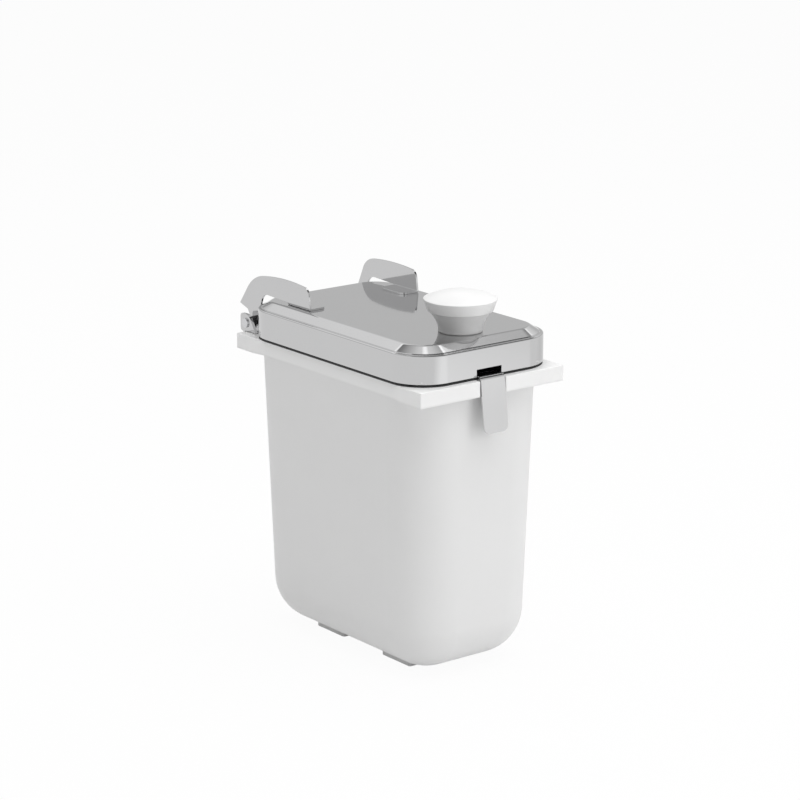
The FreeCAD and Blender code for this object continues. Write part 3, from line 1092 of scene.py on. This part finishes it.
    def foot_places(self) -> list[Vector]:
        """Middles of the feet's soles.

        Returns:
            One point for each foot.
        """
        x = self.half_x - self.foot_setback - self.foot_width / 2
        y = self.half_y * self.foot_middle_share
        return [Vector((side * x, end * y + self.centre_y, 0.0)) for side in (-1, 1) for end in (-1, 1)]

    def _pocket(self, shell: Shell, x0: float, x1: float, y0: float, y1: float) -> list[int]:
        """Adds one hollow's walls and roof.

        Args:
            shell: the jar's surface.
            x0: left side.
            x1: right side.
            y0: front side.
            y1: back side.

        Returns:
            The hollow's mouth.
        """
        roof = self.height - self.roof
        corners = [(x0, y0), (x1, y0), (x1, y1), (x0, y1)]
        start = len(shell.points)
        for z in (self.underside, roof):
            shell.points += [Vector((x, y + self.centre_y, z)) for x, y in corners]
        low = list(range(start, start + 4))
        high = list(range(start + 4, start + 8))
        facing = [Vector((0, 1, 0)), Vector((-1, 0, 0)), Vector((0, -1, 0)), Vector((1, 0, 0))]
        for a in range(4):
            b = (a + 1) % 4
            shell.quad([low[a], low[b], high[b], high[a]], facing[a])
        shell.quad(high, Vector((0, 0, -1)))
        return low


@dataclass
class Lid:
    """Drawn steel lid: skirt with a slot over the clip, narrow ledge, sloped border and flat top."""

    finish: PolishedSteel
    half_x: float
    front: float
    back: float
    bottom: float
    top: float
    corner: float = 27.0
    sheet: float = 1.0
    skirt: float = 19.9
    ledge: float = 2.4
    border: float = 9.5
    shoulder_round: float = 1.3
    valley_round: float = 0.25
    riser: float = 0.5
    riser_run: float = 0.35
    riser_round: float = 0.15
    brow_round: float = 4.0
    slot_half: float = 10.6
    slot_rise: float = 5.4
    front_break: float = 20.0
    crown_run: float = 6.0
    inner_shoulder_round: float = 0.4
    inner_share: float = 0.4
    corner_steps: int = 20
    bend_steps: int = 7
    hem_steps: int = 6
    nearby: float = 1e-6

    def outer_profile(self) -> list[ProfilePoint]:
        """Cross-section of the outside, from above the hem to the crown.

        Returns:
            The cross-section's points.
        """
        shoulder = self.bottom + self.skirt
        line = [(0.0, self.bottom + self.slot_rise), (0.0, shoulder), (self.ledge, shoulder),
                (self.ledge + self.riser_run, shoulder + self.riser), (self.border, self.top),
                (self.border + self.crown_run, self.top)]
        radii = [self.shoulder_round, self.valley_round, self.riser_round, self.brow_round]
        start = ProfilePoint(0.0, self.bottom + self.sheet / 2, 1.0, 0.0)
        return [start] + rounded_profile(line, radii, self.bend_steps)

    def inner_profile(self) -> list[ProfilePoint]:
        """Cross-section of the inside, from above the hem to the crown.

        Returns:
            The cross-section's points, with the outside's normals.
        """
        sheet, shoulder = self.sheet, self.bottom + self.skirt - self.sheet
        shift, crown = sheet * self.inner_share, self.top - sheet
        line = [(sheet, self.bottom + self.slot_rise), (sheet, shoulder), (self.ledge + shift, shoulder),
                (self.border + shift, crown), (self.border + self.crown_run, crown)]
        radii = [self.inner_shoulder_round, sheet, self.brow_round - sheet]
        start = ProfilePoint(sheet, self.bottom + sheet / 2, 1.0, 0.0)
        return [start] + rounded_profile(line, radii, self.bend_steps)

    def hem_profile(self) -> list[ProfilePoint]:
        """Cross-section of the rounded hem, from the outside to the inside.

        Returns:
            The cross-section's points.
        """
        half = self.sheet / 2
        found = []
        for step in range(1, self.hem_steps):
            angle = math.pi * step / self.hem_steps
            out, up = math.cos(angle), -math.sin(angle)
            found.append(ProfilePoint(half * (1 - out), self.bottom + half * (1 + up), out, up))
        return found

    def build(self) -> bpy.types.Object:
        """Builds the lid.

        Returns:
            The lid.
        """
        breaks = (-self.front_break, -self.slot_half, self.slot_half, self.front_break)
        plan = RoundedPlan(self.half_x, self.front, self.back, self.corner, corner_steps=self.corner_steps,
                           front_breaks=breaks)
        inner, hem, outer = self.inner_profile(), self.hem_profile(), self.outer_profile()
        rings = [plan.ring(p.inset, p.height, -p.out, -p.up) for p in inner[::-1]]
        rings += [plan.ring(p.inset, p.height, p.out, p.up) for p in hem[::-1] + outer]
        column = self._slot_column(rings[0])
        first_open = len(inner) - 2
        last_open = len(inner) + len(hem)

        def skip(level: int) -> Iterable[int]:
            """The slot's column, left open below its top."""
            return (column,) if first_open <= level <= last_open else ()

        shell = Shell()
        numbers = shell.loft(rings, skip)
        shell.cap([numbers[-1]], Vector((0, 0, 1)))
        shell.cap([numbers[0]], Vector((0, 0, -1)))
        opened = numbers[first_open:last_open + 2]
        follower = (column + 1) % len(numbers[0])
        shell.quad([opened[0][column], opened[0][follower], opened[-1][follower], opened[-1][column]],
                   Vector((0, 0, -1)))
        shell.quad([ring[column] for ring in opened], Vector((1, 0, 0)))
        shell.quad([ring[follower] for ring in opened], Vector((-1, 0, 0)))
        made = shell.to_object("lid_shell", self.finish.material())
        return placed(made, Body.LID, self.finish.slot, "lid")

    def _slot_column(self, ring: Ring) -> int:
        """Finds the column of the ring that spans the slot.

        Args:
            ring: any of the lid's rings.

        Returns:
            The column's number.
        """
        following = ring.points[1:] + ring.points[:1]
        for index, (left, right) in enumerate(zip(ring.points, following)):
            if abs(left.x + self.slot_half) < self.nearby and abs(right.x - self.slot_half) < self.nearby:
                return index
        raise ValueError("the lid's outline has no column for its slot")


@dataclass
class Knob:
    """Turned knob: concave waist, tapered band and a domed top, spun round its axis."""

    finish: MouldedPlastic
    centre_y: float
    base: float
    top: float
    base_radius: float = 15.0
    neck_radius: float = 21.6
    low_radius: float = 22.3
    rim_radius: float = 24.9
    neck_height: float = 14.3
    band: float = 7.7
    sole_share: float = 0.6
    foot_edge: float = 0.3
    waist_power: float = 2.1
    step_out: float = 0.1
    band_foot: tuple = ((-0.35, 0.05), (-0.1, 0.12), (0.0, 0.35), (0.1, 0.65))
    brim: tuple = ((-0.06, 0.0), (0.0, 0.2), (-0.05, 0.36), (-0.25, 0.5))
    path_radius: float = 1.0
    waist_steps: int = 16
    dome_steps: int = 24
    segments: int = 96

    def profile(self) -> list[Point2]:
        """Half-section of the knob.

        Returns:
            Radius and height of each point, from the sole's middle to the dome's middle.
        """
        neck = self.base + self.neck_height
        rim = neck + self.band
        line: list[Point2] = [(0.0, self.base), (self.base_radius * self.sole_share, self.base),
                              (self.base_radius - self.foot_edge, self.base),
                              (self.base_radius, self.base + self.foot_edge)]
        for step in range(1, self.waist_steps + 1):
            share = step / self.waist_steps
            line.append((self.base_radius + (self.neck_radius - self.base_radius) * share ** self.waist_power,
                         self.base + self.foot_edge + (self.neck_height - self.foot_edge) * share))
        line.append((self.neck_radius + self.step_out, neck))
        line += [(self.low_radius + out, neck + up) for out, up in self.band_foot]
        line += [(self.rim_radius + out, rim + up) for out, up in self.brim]
        half, edge = line[-1]
        rise = self.top - edge
        sphere = (half * half + rise * rise) / (2 * rise)
        for step in range(1, self.dome_steps + 1):
            radius = half * (1 - step / self.dome_steps)
            line.append((radius, self.top - sphere + math.sqrt(sphere * sphere - radius * radius)))
        return line

    def build(self) -> bpy.types.Object:
        """Spins the half-section round the knob's axis.

        Returns:
            The knob.
        """
        line = self.profile()
        base = bpy.data.meshes.new("knob_turned")
        places = [((radius - self.path_radius) * MM, (self.base - height) * MM, 0.0)
                  for radius, height in line]
        base.from_pydata(places, [(a, a + 1) for a in range(len(line) - 1)], [])
        tree = GeometryTree("spun_profile", {
            "Segments": self.segments, "Axis place": (0.0, self.centre_y * MM, self.base * MM),
            "Path radius": self.path_radius * MM})
        half_section = tree.node("GeometryNodeMeshToCurve", i0=tree.given("Base"))
        circle = tree.node("GeometryNodeCurvePrimitiveCircle", Resolution=tree.given("Segments"),
                           Radius=tree.given("Path radius"))
        spun = tree.node("GeometryNodeCurveToMesh", Curve=circle, Profile_Curve=half_section)
        whole = tree.node("GeometryNodeMergeByDistance", i0=spun, Distance=WELD)
        stood = tree.node("GeometryNodeTransform", i0=whole, Translation=tree.given("Axis place"))
        turned = tree.node("GeometryNodeFlipFaces", i0=stood)
        smooth = tree.node("GeometryNodeSetShadeSmooth", i0=turned)
        made = tree.made(smooth, base, "knob_turned", self.finish.material())
        return placed(made, Body.LID, self.finish.slot, "knob")


@dataclass
class SheetPart:
    """A bent sheet part taken from its CAD node, with broken edges and a directional polish."""

    node: str
    name: str
    body: Body
    marks: Axis
    edge: float = 0.15
    reshape: "Callable[[Vector], Vector] | None" = None

    def build(self) -> bpy.types.Object:
        """Builds the part.

        Returns:
            The part.
        """
        finish = PolishedSteel(name=self.name + "_finish", marks=self.marks)
        made = refined(self.node, self.name, finish.material(), self.edge, self.reshape)
        return placed(made, self.body, finish.slot, self.node)


@dataclass(frozen=True)
class BracketShape:
    """Squares the rear corners of the hinge bracket's cheeks and draws its lip up behind the flange."""

    pin_y: float
    pin_z: float
    low: float
    eye_radius: float = 6.5
    nearby: float = 0.05
    power: float = 6.0
    shorten: float = 6.0

    def __call__(self, point: Vector) -> Vector:
        """Moves one point.

        Args:
            point: a point of the bracket in millimetres.

        Returns:
            The point's new place.
        """
        if point.z < self.low + self.shorten / 2:
            return point + Vector((0, 0, self.shorten))
        y, z = point.y - self.pin_y, point.z - self.pin_z
        if y <= 0 or abs(math.hypot(y, z) - self.eye_radius) > self.nearby:
            return point.copy()
        share = self.eye_radius / (abs(y) ** self.power + abs(z) ** self.power) ** (1 / self.power)
        return Vector((point.x, self.pin_y + y * share, self.pin_z + z * share))


@dataclass
class GapShadowStrip:
    """Black strip on the frame's edge, painted shade that makes the gap under the lid read as a deep shadow;
    open for the hinge tab.
    """

    finish: MouldedPlastic
    half_x: float
    front: float
    back: float
    level: float
    corner: float = 27.0
    outer_inset: float = 0.4
    inner_inset: float = 2.9
    height: float = 1.1
    lift: float = 0.02
    tab_half: float = 51.6

    def build(self) -> bpy.types.Object:
        """Builds the strip from one cross-section per column of the lid's outline.

        Returns:
            The strip.
        """
        plan = RoundedPlan(self.half_x, self.front, self.back, self.corner)
        outer = plan.ring(self.outer_inset, self.level + self.lift, 1.0, 0.0)
        inner = plan.ring(self.inner_inset, self.level + self.lift, -1.0, 0.0)
        columns = [index for index, point in enumerate(outer.points)
                   if point.y < 0 or abs(point.x) > self.tab_half]
        start = next(place for place in range(len(columns)) if columns[place] - columns[place - 1] != 1
                     and outer.points[columns[place]].y > 0)
        columns = columns[start:] + columns[:start]
        shell = Shell()
        rise = Vector((0, 0, self.height - self.lift))
        sections = []
        for column in columns:
            low = [outer.points[column], inner.points[column]]
            sections.append(list(range(len(shell.points), len(shell.points) + 4)))
            shell.points += low + [point + rise for point in low[::-1]]
        under, over = Vector((0, 0, -1)), Vector((0, 0, 1))
        for place, (a, b) in enumerate(zip(sections, sections[1:])):
            here, there = columns[place], columns[place + 1]
            facings = ((under, under), (inner.normals[here], inner.normals[there]),
                       (over, over), (outer.normals[here], outer.normals[there]))
            for side, (first, second) in enumerate(facings):
                after = (side + 1) % 4
                shell.faces.append([a[side], a[after], b[after], b[side]])
                shell.normals.append([first, first, second, second])
        for ends, other in ((sections[0], sections[1]), (sections[-1], sections[-2])):
            away = shell.points[ends[0]] - shell.points[other[0]]
            shell.quad(ends, away.normalized())
        made = shell.to_object("gap_shadow_strip", self.finish.material())
        return placed(made, Body.FRAME, self.finish.slot)


@dataclass
class ClipStrap:
    """Spring strap of one width: up the front, over the rim and down inside the collar."""

    finish: PolishedSteel
    front: float
    bottom: float
    top: float
    inner_face: float
    rim: float
    half_width: float
    lean: float = 4.9
    inner_leg: float = 10.0
    sheet: float = 1.5
    corner: float = 5.0
    bend: float = 3.0
    lip: float = 2.3
    edge: float = 0.3
    corner_steps: int = 8
    bend_steps: int = 8

    def sections(self) -> list[tuple[ProfilePoint, float]]:
        """Flat cross-sections along the strap's side view, narrower round its lower corners.

        Returns:
            The outer face's point and the half width of each.
        """
        outside = [(self.front, self.bottom), (self.front + self.lean, self.top),
                   (self.inner_face, self.top), (self.inner_face, self.rim - self.inner_leg)]
        foot, *path = rounded_profile(outside, [self.bend, self.lip], self.bend_steps)
        rise = Vector((path[0].inset - foot.inset, path[0].height - foot.height)).normalized()
        found = []
        for step in range(self.corner_steps + 1):
            angle = math.pi / 2 * step / self.corner_steps
            along = rise * self.corner * (1 - math.cos(angle))
            point = ProfilePoint(foot.inset + along.x, foot.height + along.y, foot.out, foot.up)
            found.append((point, self.half_width - self.corner * (1 - math.sin(angle))))
        return found + [(point, self.half_width) for point in path]

    def build(self) -> bpy.types.Object:
        """Builds the strap.

        Returns:
            The strap.
        """
        points, faces = [], []
        for point, half in self.sections():
            inner_y = point.inset + self.sheet * point.out
            inner_z = point.height - self.sheet * point.up
            points += [(-half, point.inset, point.height), (half, point.inset, point.height),
                       (half, inner_y, inner_z), (-half, inner_y, inner_z)]
        for base in range(0, len(points) - 4, 4):
            for side in range(4):
                after = (side + 1) % 4
                faces.append([base + side, base + after, base + 4 + after, base + 4 + side])
        faces += [[3, 2, 1, 0], [len(points) - 4 + side for side in range(4)]]
        mesh = bpy.data.meshes.new("clip_strap")
        mesh.from_pydata([Vector(point) * MM for point in points], [], faces)
        mesh.materials.append(self.finish.material())
        made = bpy.data.objects.new("clip_strap", mesh)
        bpy.context.scene.collection.objects.link(made)
        return placed(softened(made, self.edge), Body.FRAME, self.finish.slot, "front_clip")


@dataclass
class Hardware:
    """Small turned and stamped parts that keep their CAD shape and get their own finishes."""

    pin: PolishedSteel = PolishedSteel("pin_finish", "plain_steel", (0.70, 0.70, 0.71), (0.58, 0.585, 0.60),
                                       roughness=0.16, haze=0.1, mark_depth=0.03)
    # The spacers are a black bush; their near-black also stands in as painted shade for the dark hollow
    # behind the hinge arms.
    spacer: MouldedPlastic = MouldedPlastic("spacer_black_and_shade", "bush_plastic", (0.034, 0.034, 0.036),
                                            (0.022, 0.022, 0.023), roughness=0.38)
    frame: PolishedSteel = PolishedSteel("frame_finish", marks=Axis.ALONG_Y)

    def build(self) -> None:
        """Gives each remaining CAD node its finish."""
        for finish, nodes in ((self.pin, ("hinge_pin", "pin_retaining_ring", "knob_screw", "knob_washer")),
                              (self.spacer, ("hinge_spacer_left", "hinge_spacer_right")),
                              (self.frame, ("rim_frame",))):
            material = finish.material()
            for node in nodes:
                for slot in frame["nodes"][node].material_slots:
                    slot.material = material
                LOG.info("%s: finish %s", node, material.name)


@dataclass
class SoftBox:
    """A rectangular studio lamp; polished steel mirrors the tent in its place."""

    name: str
    place: tuple
    aim: tuple
    width: float
    height: float
    power: float

    def build(self) -> bpy.types.Object:
        """Builds the lamp.

        Returns:
            The lamp.
        """
        data = bpy.data.lights.new(self.name, "AREA")
        data.shape = "RECTANGLE"
        data.size = self.width
        data.size_y = self.height
        data.energy = self.power
        made = bpy.data.objects.new(self.name, data)
        made.location = self.place
        made.visible_glossy = False
        made.rotation_mode = "QUATERNION"
        made.rotation_quaternion = (Vector(self.aim) - Vector(self.place)).to_track_quat("-Z", "Y")
        bpy.context.scene.collection.objects.link(made)
        return made


@dataclass
class Tent:
    """The photographer's tent, which only polished steel mirrors: bright in front, grey behind, and dark
    round a bright window that is nearly overhead. On the far right a white strip parts it from a grey wall,
    and a black flag hangs high in front."""

    radius: float = 9.0
    segments: int = 48
    window: tuple = (0.141, 0.088, 0.986)
    tones: tuple = ((0.0, 1.1), (0.12, 0.95), (0.27, 0.63), (0.42, 0.65), (0.55, 0.82), (0.64, 0.95),
                    (0.722, 1.02), (0.735, 1.35), (0.765, 1.35), (0.78, 0.26), (0.838, 0.34), (0.88, 0.47),
                    (0.934, 0.64), (0.962, 0.75), (0.988, 0.93), (0.9962, 0.98), (0.9972, 1.7), (1.0, 1.7))
    right_tones: tuple = ((0.0, 1.1), (0.12, 0.95), (0.27, 0.63), (0.42, 0.65), (0.52, 0.56), (0.80, 0.49),
                          (0.83, 0.55), (0.855, 0.66), (0.88, 0.75), (1.0, 0.75))
    right_from: float = 0.587
    strip_from: float = 0.525
    strip_above: float = 0.84
    strip_glow: float = 1.1
    right_to: float = 0.74
    flag_from: float = -0.03
    flag_above: float = 0.55
    flag_depth: float = 0.88
    flag_softness: float = 10.0
    sharpness: float = 100.0
    softness: float = 12.0

    def build(self) -> bpy.types.Object:
        """Hangs the tent.

        Returns:
            The tent.
        """
        mesh = bpy.data.meshes.new("tent")
        work = bmesh.new()
        bmesh.ops.create_uvsphere(work, u_segments=self.segments, v_segments=self.segments // 2,
                                  radius=self.radius)
        bmesh.ops.reverse_faces(work, faces=work.faces)
        work.to_mesh(mesh)
        work.free()
        made = bpy.data.objects.new("tent", mesh)
        bpy.context.scene.collection.objects.link(made)
        mesh.materials.append(self.cloth())
        made.visible_camera = False
        made.visible_diffuse = False
        made.visible_transmission = False
        made.visible_shadow = False
        return made

    def cloth(self) -> bpy.types.Material:
        """Glowing cloth whose grey follows its nearness to the window and its place to the right.

        Returns:
            The cloth's material.
        """
        material = bpy.data.materials.new("tent_cloth")
        shader = Shader(material)
        place = shader.node("ShaderNodeTexCoord")
        away = shader.node("ShaderNodeVectorMath", {"operation": "NORMALIZE"}, i0=place.outputs["Object"])
        facing = shader.node("ShaderNodeVectorMath", {"operation": "DOT_PRODUCT"}, i0=away.outputs[0],
                             i1=self.window)
        near = shader.value(facing, "Value")
        parts = shader.node("ShaderNodeSeparateXYZ", Vector=away.outputs[0])
        right, back = shader.value(parts, "X"), shader.value(parts, "Y")
        left_grey = shader.value(shader.node("ShaderNodeValToRGB", {"stops": self.tones}, i0=near))
        right_grey = shader.value(shader.node("ShaderNodeValToRGB", {"stops": self.right_tones}, i0=near))
        fading = ((self.right_to - right) * self.softness).clamped()
        share = ((right - self.right_from) * self.sharpness).clamped() * fading
        strip = (((right - self.strip_from) * self.sharpness).clamped() * (1 - share)
                 * ((near - self.strip_above) * self.sharpness).clamped() * fading)
        flag = (((self.flag_from - back) * self.flag_softness).clamped()
                * ((near - self.flag_above) * self.flag_softness).clamped())
        wall = left_grey + (right_grey - left_grey) * share
        grey = (wall + strip * self.strip_glow) * (1 - flag * self.flag_depth)
        bounced = shader.value(shader.node("ShaderNodeLightPath"), "Diffuse Depth").clamped()
        cloth = shader.node("ShaderNodeEmission", Color=WHITE, Strength=grey * (1 - bounced))
        shader.node("ShaderNodeOutputMaterial", Surface=cloth.outputs[0])
        return material


@dataclass(frozen=True)
class Pool:
    """A soft round patch of light or shade that the metal shows on the floor, in metres."""

    centre: tuple
    radius: float
    softness: float
    gain: float


@dataclass
class Studio:
    """Plain pale floor, soft lamps, a quiet world and the camera at the photograph's angle."""

    azimuth: float = -37.721
    elevation: float = 15.136
    target: tuple = (0.02866, 0.02752, 0.16181)
    distance: float = 2.0431
    lens: float = 129.81
    sensor: float = 36.0
    floor_size: float = 30.0
    floor_tone: float = 0.86
    floor_glow: float = 0.95
    mirrored_tone: float = 0.934
    pools: tuple = (Pool((0.25, -0.8, 0.0), 0.45, 0.3, 0.32), Pool((0.85, 0.15, 0.0), 0.55, 0.3, -0.12))
    ambient: float = 0.50

    def camera(self) -> bpy.types.Object:
        """Places the camera.

        Returns:
            The camera.
        """
        data = bpy.data.cameras.new("camera")
        data.lens = self.lens
        data.sensor_width = self.sensor
        data.dof.use_dof = False
        a, e = math.radians(self.azimuth), math.radians(self.elevation)
        back = Vector((math.sin(a) * math.cos(e), -math.cos(a) * math.cos(e), math.sin(e)))
        made = bpy.data.objects.new("camera", data)
        made.rotation_mode = "QUATERNION"
        made.rotation_quaternion = (-back).to_track_quat("-Z", "Y")
        made.location = Vector(self.target) + back * self.distance
        bpy.context.scene.collection.objects.link(made)
        bpy.context.scene.camera = made
        return made

    def floor(self) -> bpy.types.Object:
        """Lays the floor.

        Returns:
            The floor.
        """
        half = self.floor_size / 2
        mesh = bpy.data.meshes.new("floor")
        mesh.from_pydata([(-half, -half, 0), (half, -half, 0), (half, half, 0), (-half, half, 0)], [],
                         [(0, 1, 2, 3)])
        made = bpy.data.objects.new("floor", mesh)
        bpy.context.scene.collection.objects.link(made)
        mesh.materials.append(self.paper())
        return made

    def paper(self) -> bpy.types.Material:
        """The floor's paper, which looks white, keeps the object's shadow and shows soft tones in metal.

        Returns:
            The paper's material.
        """
        material = bpy.data.materials.new("floor_paper")
        shader = Shader(material)
        paper = shader.node("ShaderNodeBsdfDiffuse", Color=(self.floor_tone,) * 3 + (1.0,))
        place, tone = shader.node("ShaderNodeTexCoord"), self.mirrored_tone
        for pool in self.pools:
            gap = shader.value(shader.node("ShaderNodeVectorMath", {"operation": "DISTANCE"},
                                           i0=place.outputs["Object"], i1=pool.centre), "Value")
            tone = ((pool.radius - gap) * (1 / pool.softness)).clamped() * pool.gain + tone
        mirrored = shader.value(shader.node("ShaderNodeLightPath"), "Is Glossy Ray")
        glow = shader.node("ShaderNodeEmission", Color=WHITE, Strength=(tone - 1) * mirrored + 1)
        both = shader.node("ShaderNodeMixShader", i0=self.floor_glow, i1=paper.outputs[0], i2=glow.outputs[0])
        mixed = shader.node("ShaderNodeMixShader", i0=self.seen(shader), i1=paper.outputs[0],
                            i2=both.outputs[0])
        shader.node("ShaderNodeOutputMaterial", Surface=mixed.outputs[0])
        return material

    def seen(self, shader: Shader) -> Value:
        """Which rays show the background, straight or in metal or glass.

        Args:
            shader: the tree that asks.

        Returns:
            One for those rays, and nought for the others.
        """
        paths = shader.node("ShaderNodeLightPath")
        shown = (shader.value(paths, "Is Camera Ray") + shader.value(paths, "Is Glossy Ray")
                 + shader.value(paths, "Is Transmission Ray"))
        return (shown - shader.value(paths, "Diffuse Depth")).clamped()

    def world(self) -> None:
        """Sets a quiet world that is white where it is seen."""
        world = bpy.data.worlds.new("studio")
        bpy.context.scene.world = world
        shader = Shader(world)
        soft = shader.node("ShaderNodeBackground", Color=WHITE, Strength=self.ambient)
        white = shader.node("ShaderNodeBackground", Color=WHITE, Strength=1.0)
        mixed = shader.node("ShaderNodeMixShader", i0=self.seen(shader), i1=soft.outputs[0],
                            i2=white.outputs[0])
        shader.node("ShaderNodeOutputWorld", Surface=mixed.outputs[0])

    def lamps(self) -> None:
        """Hangs the soft boxes."""
        boxes = (
            SoftBox("top_box", place=(0.25, -0.25, 1.85), aim=(0.25, -0.25, 0.15), width=2.0, height=2.0,
                    power=24.5),
            SoftBox("front_box", place=(0.9, -2.0, 0.9), aim=(0.0, 0.0, 0.15), width=1.0, height=1.4,
                    power=9.0),
        )
        for box in boxes:
            box.build()

    def build(self) -> None:
        """Builds the studio."""
        self.floor()
        self.world()
        Tent().build()
        self.lamps()
        self.camera()
        bpy.context.scene.view_settings.view_transform = "Standard"


def in_millimetres(corner: Sequence[float]) -> tuple[float, float, float]:
    """A CAD corner in millimetres."""
    return corner[0] / MM, corner[1] / MM, corner[2] / MM


def clear_startup() -> None:
    """Removes whatever a fresh session starts with, and keeps the frame."""
    kept = set(frame["nodes"].values()) | set(frame["bodies"].values())
    for item in list(bpy.data.objects):
        if item not in kept and item.type in {"MESH", "LIGHT", "CAMERA"} and item.parent is None:
            bpy.data.objects.remove(item)


def main() -> None:
    """Builds every piece in order and reports it."""
    logging.basicConfig(level=logging.INFO, format="%(message)s")
    clear_startup()
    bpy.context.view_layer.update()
    jar_low, jar_high = (in_millimetres(corner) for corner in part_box("jar"))
    lid_low, lid_high = (in_millimetres(corner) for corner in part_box("lid"))
    knob_low, knob_high = (in_millimetres(corner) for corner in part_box("knob"))
    # Painted light: the flange is painted paler than the wall, from its underside up.
    plastic = MouldedPlastic(painted_light_above=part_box("jar")[1][2] - Jar.flange * MM)
    Jar(plastic, jar_high[2], jar_high[0], (jar_high[1] - jar_low[1]) / 2,
        (jar_high[1] + jar_low[1]) / 2).build()
    Lid(PolishedSteel(), lid_high[0], lid_low[1], lid_high[1], lid_low[2], lid_high[2]).build()
    knob_plastic = MouldedPlastic("knob_white", "knob_plastic", light=(0.865, 0.865, 0.863),
                                  dark=(0.845, 0.845, 0.844), roughness=0.30, spread=0.06,
                                  grain_scale=900.0, grain_depth=0.006)
    Knob(knob_plastic, (knob_low[1] + knob_high[1]) / 2, knob_low[2], knob_high[2]).build()
    clip_low, clip_high = (in_millimetres(corner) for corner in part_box("front_clip"))
    strap_steel = PolishedSteel("strap_finish", light=(0.69, 0.69, 0.692), dark=(0.65, 0.65, 0.655),
                                roughness=0.16, marks=Axis.ALONG_Z)
    ClipStrap(strap_steel, clip_low[1], clip_low[2], clip_high[2], clip_high[1], jar_high[2],
              clip_high[0]).build()
    # Painted shade: this black strip stands in for the shadow in the gap under the lid's skirt.
    gap_shadow_finish = MouldedPlastic("gap_shadow_black", "bush_plastic", light=(0.024, 0.024, 0.025),
                                 dark=(0.014, 0.014, 0.015), roughness=0.62)
    GapShadowStrip(gap_shadow_finish, lid_high[0], lid_low[1], lid_high[1], jar_high[2]).build()
    pin_low, pin_high = (in_millimetres(corner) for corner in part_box("hinge_pin"))
    bracket_low = in_millimetres(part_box("hinge_bracket")[0])
    squared = BracketShape((pin_low[1] + pin_high[1]) / 2, (pin_low[2] + pin_high[2]) / 2, bracket_low[2])
    SheetPart("hinge_bracket", "hinge_bracket_sheet", Body.FRAME, Axis.ALONG_X, reshape=squared).build()
    SheetPart("lid_arm_left", "arm_left", Body.LID, Axis.ALONG_Y).build()
    SheetPart("lid_arm_right", "arm_right", Body.LID, Axis.ALONG_Y).build()
    Hardware().build()
    Studio().build()


if __name__ == "__main__":
    main()
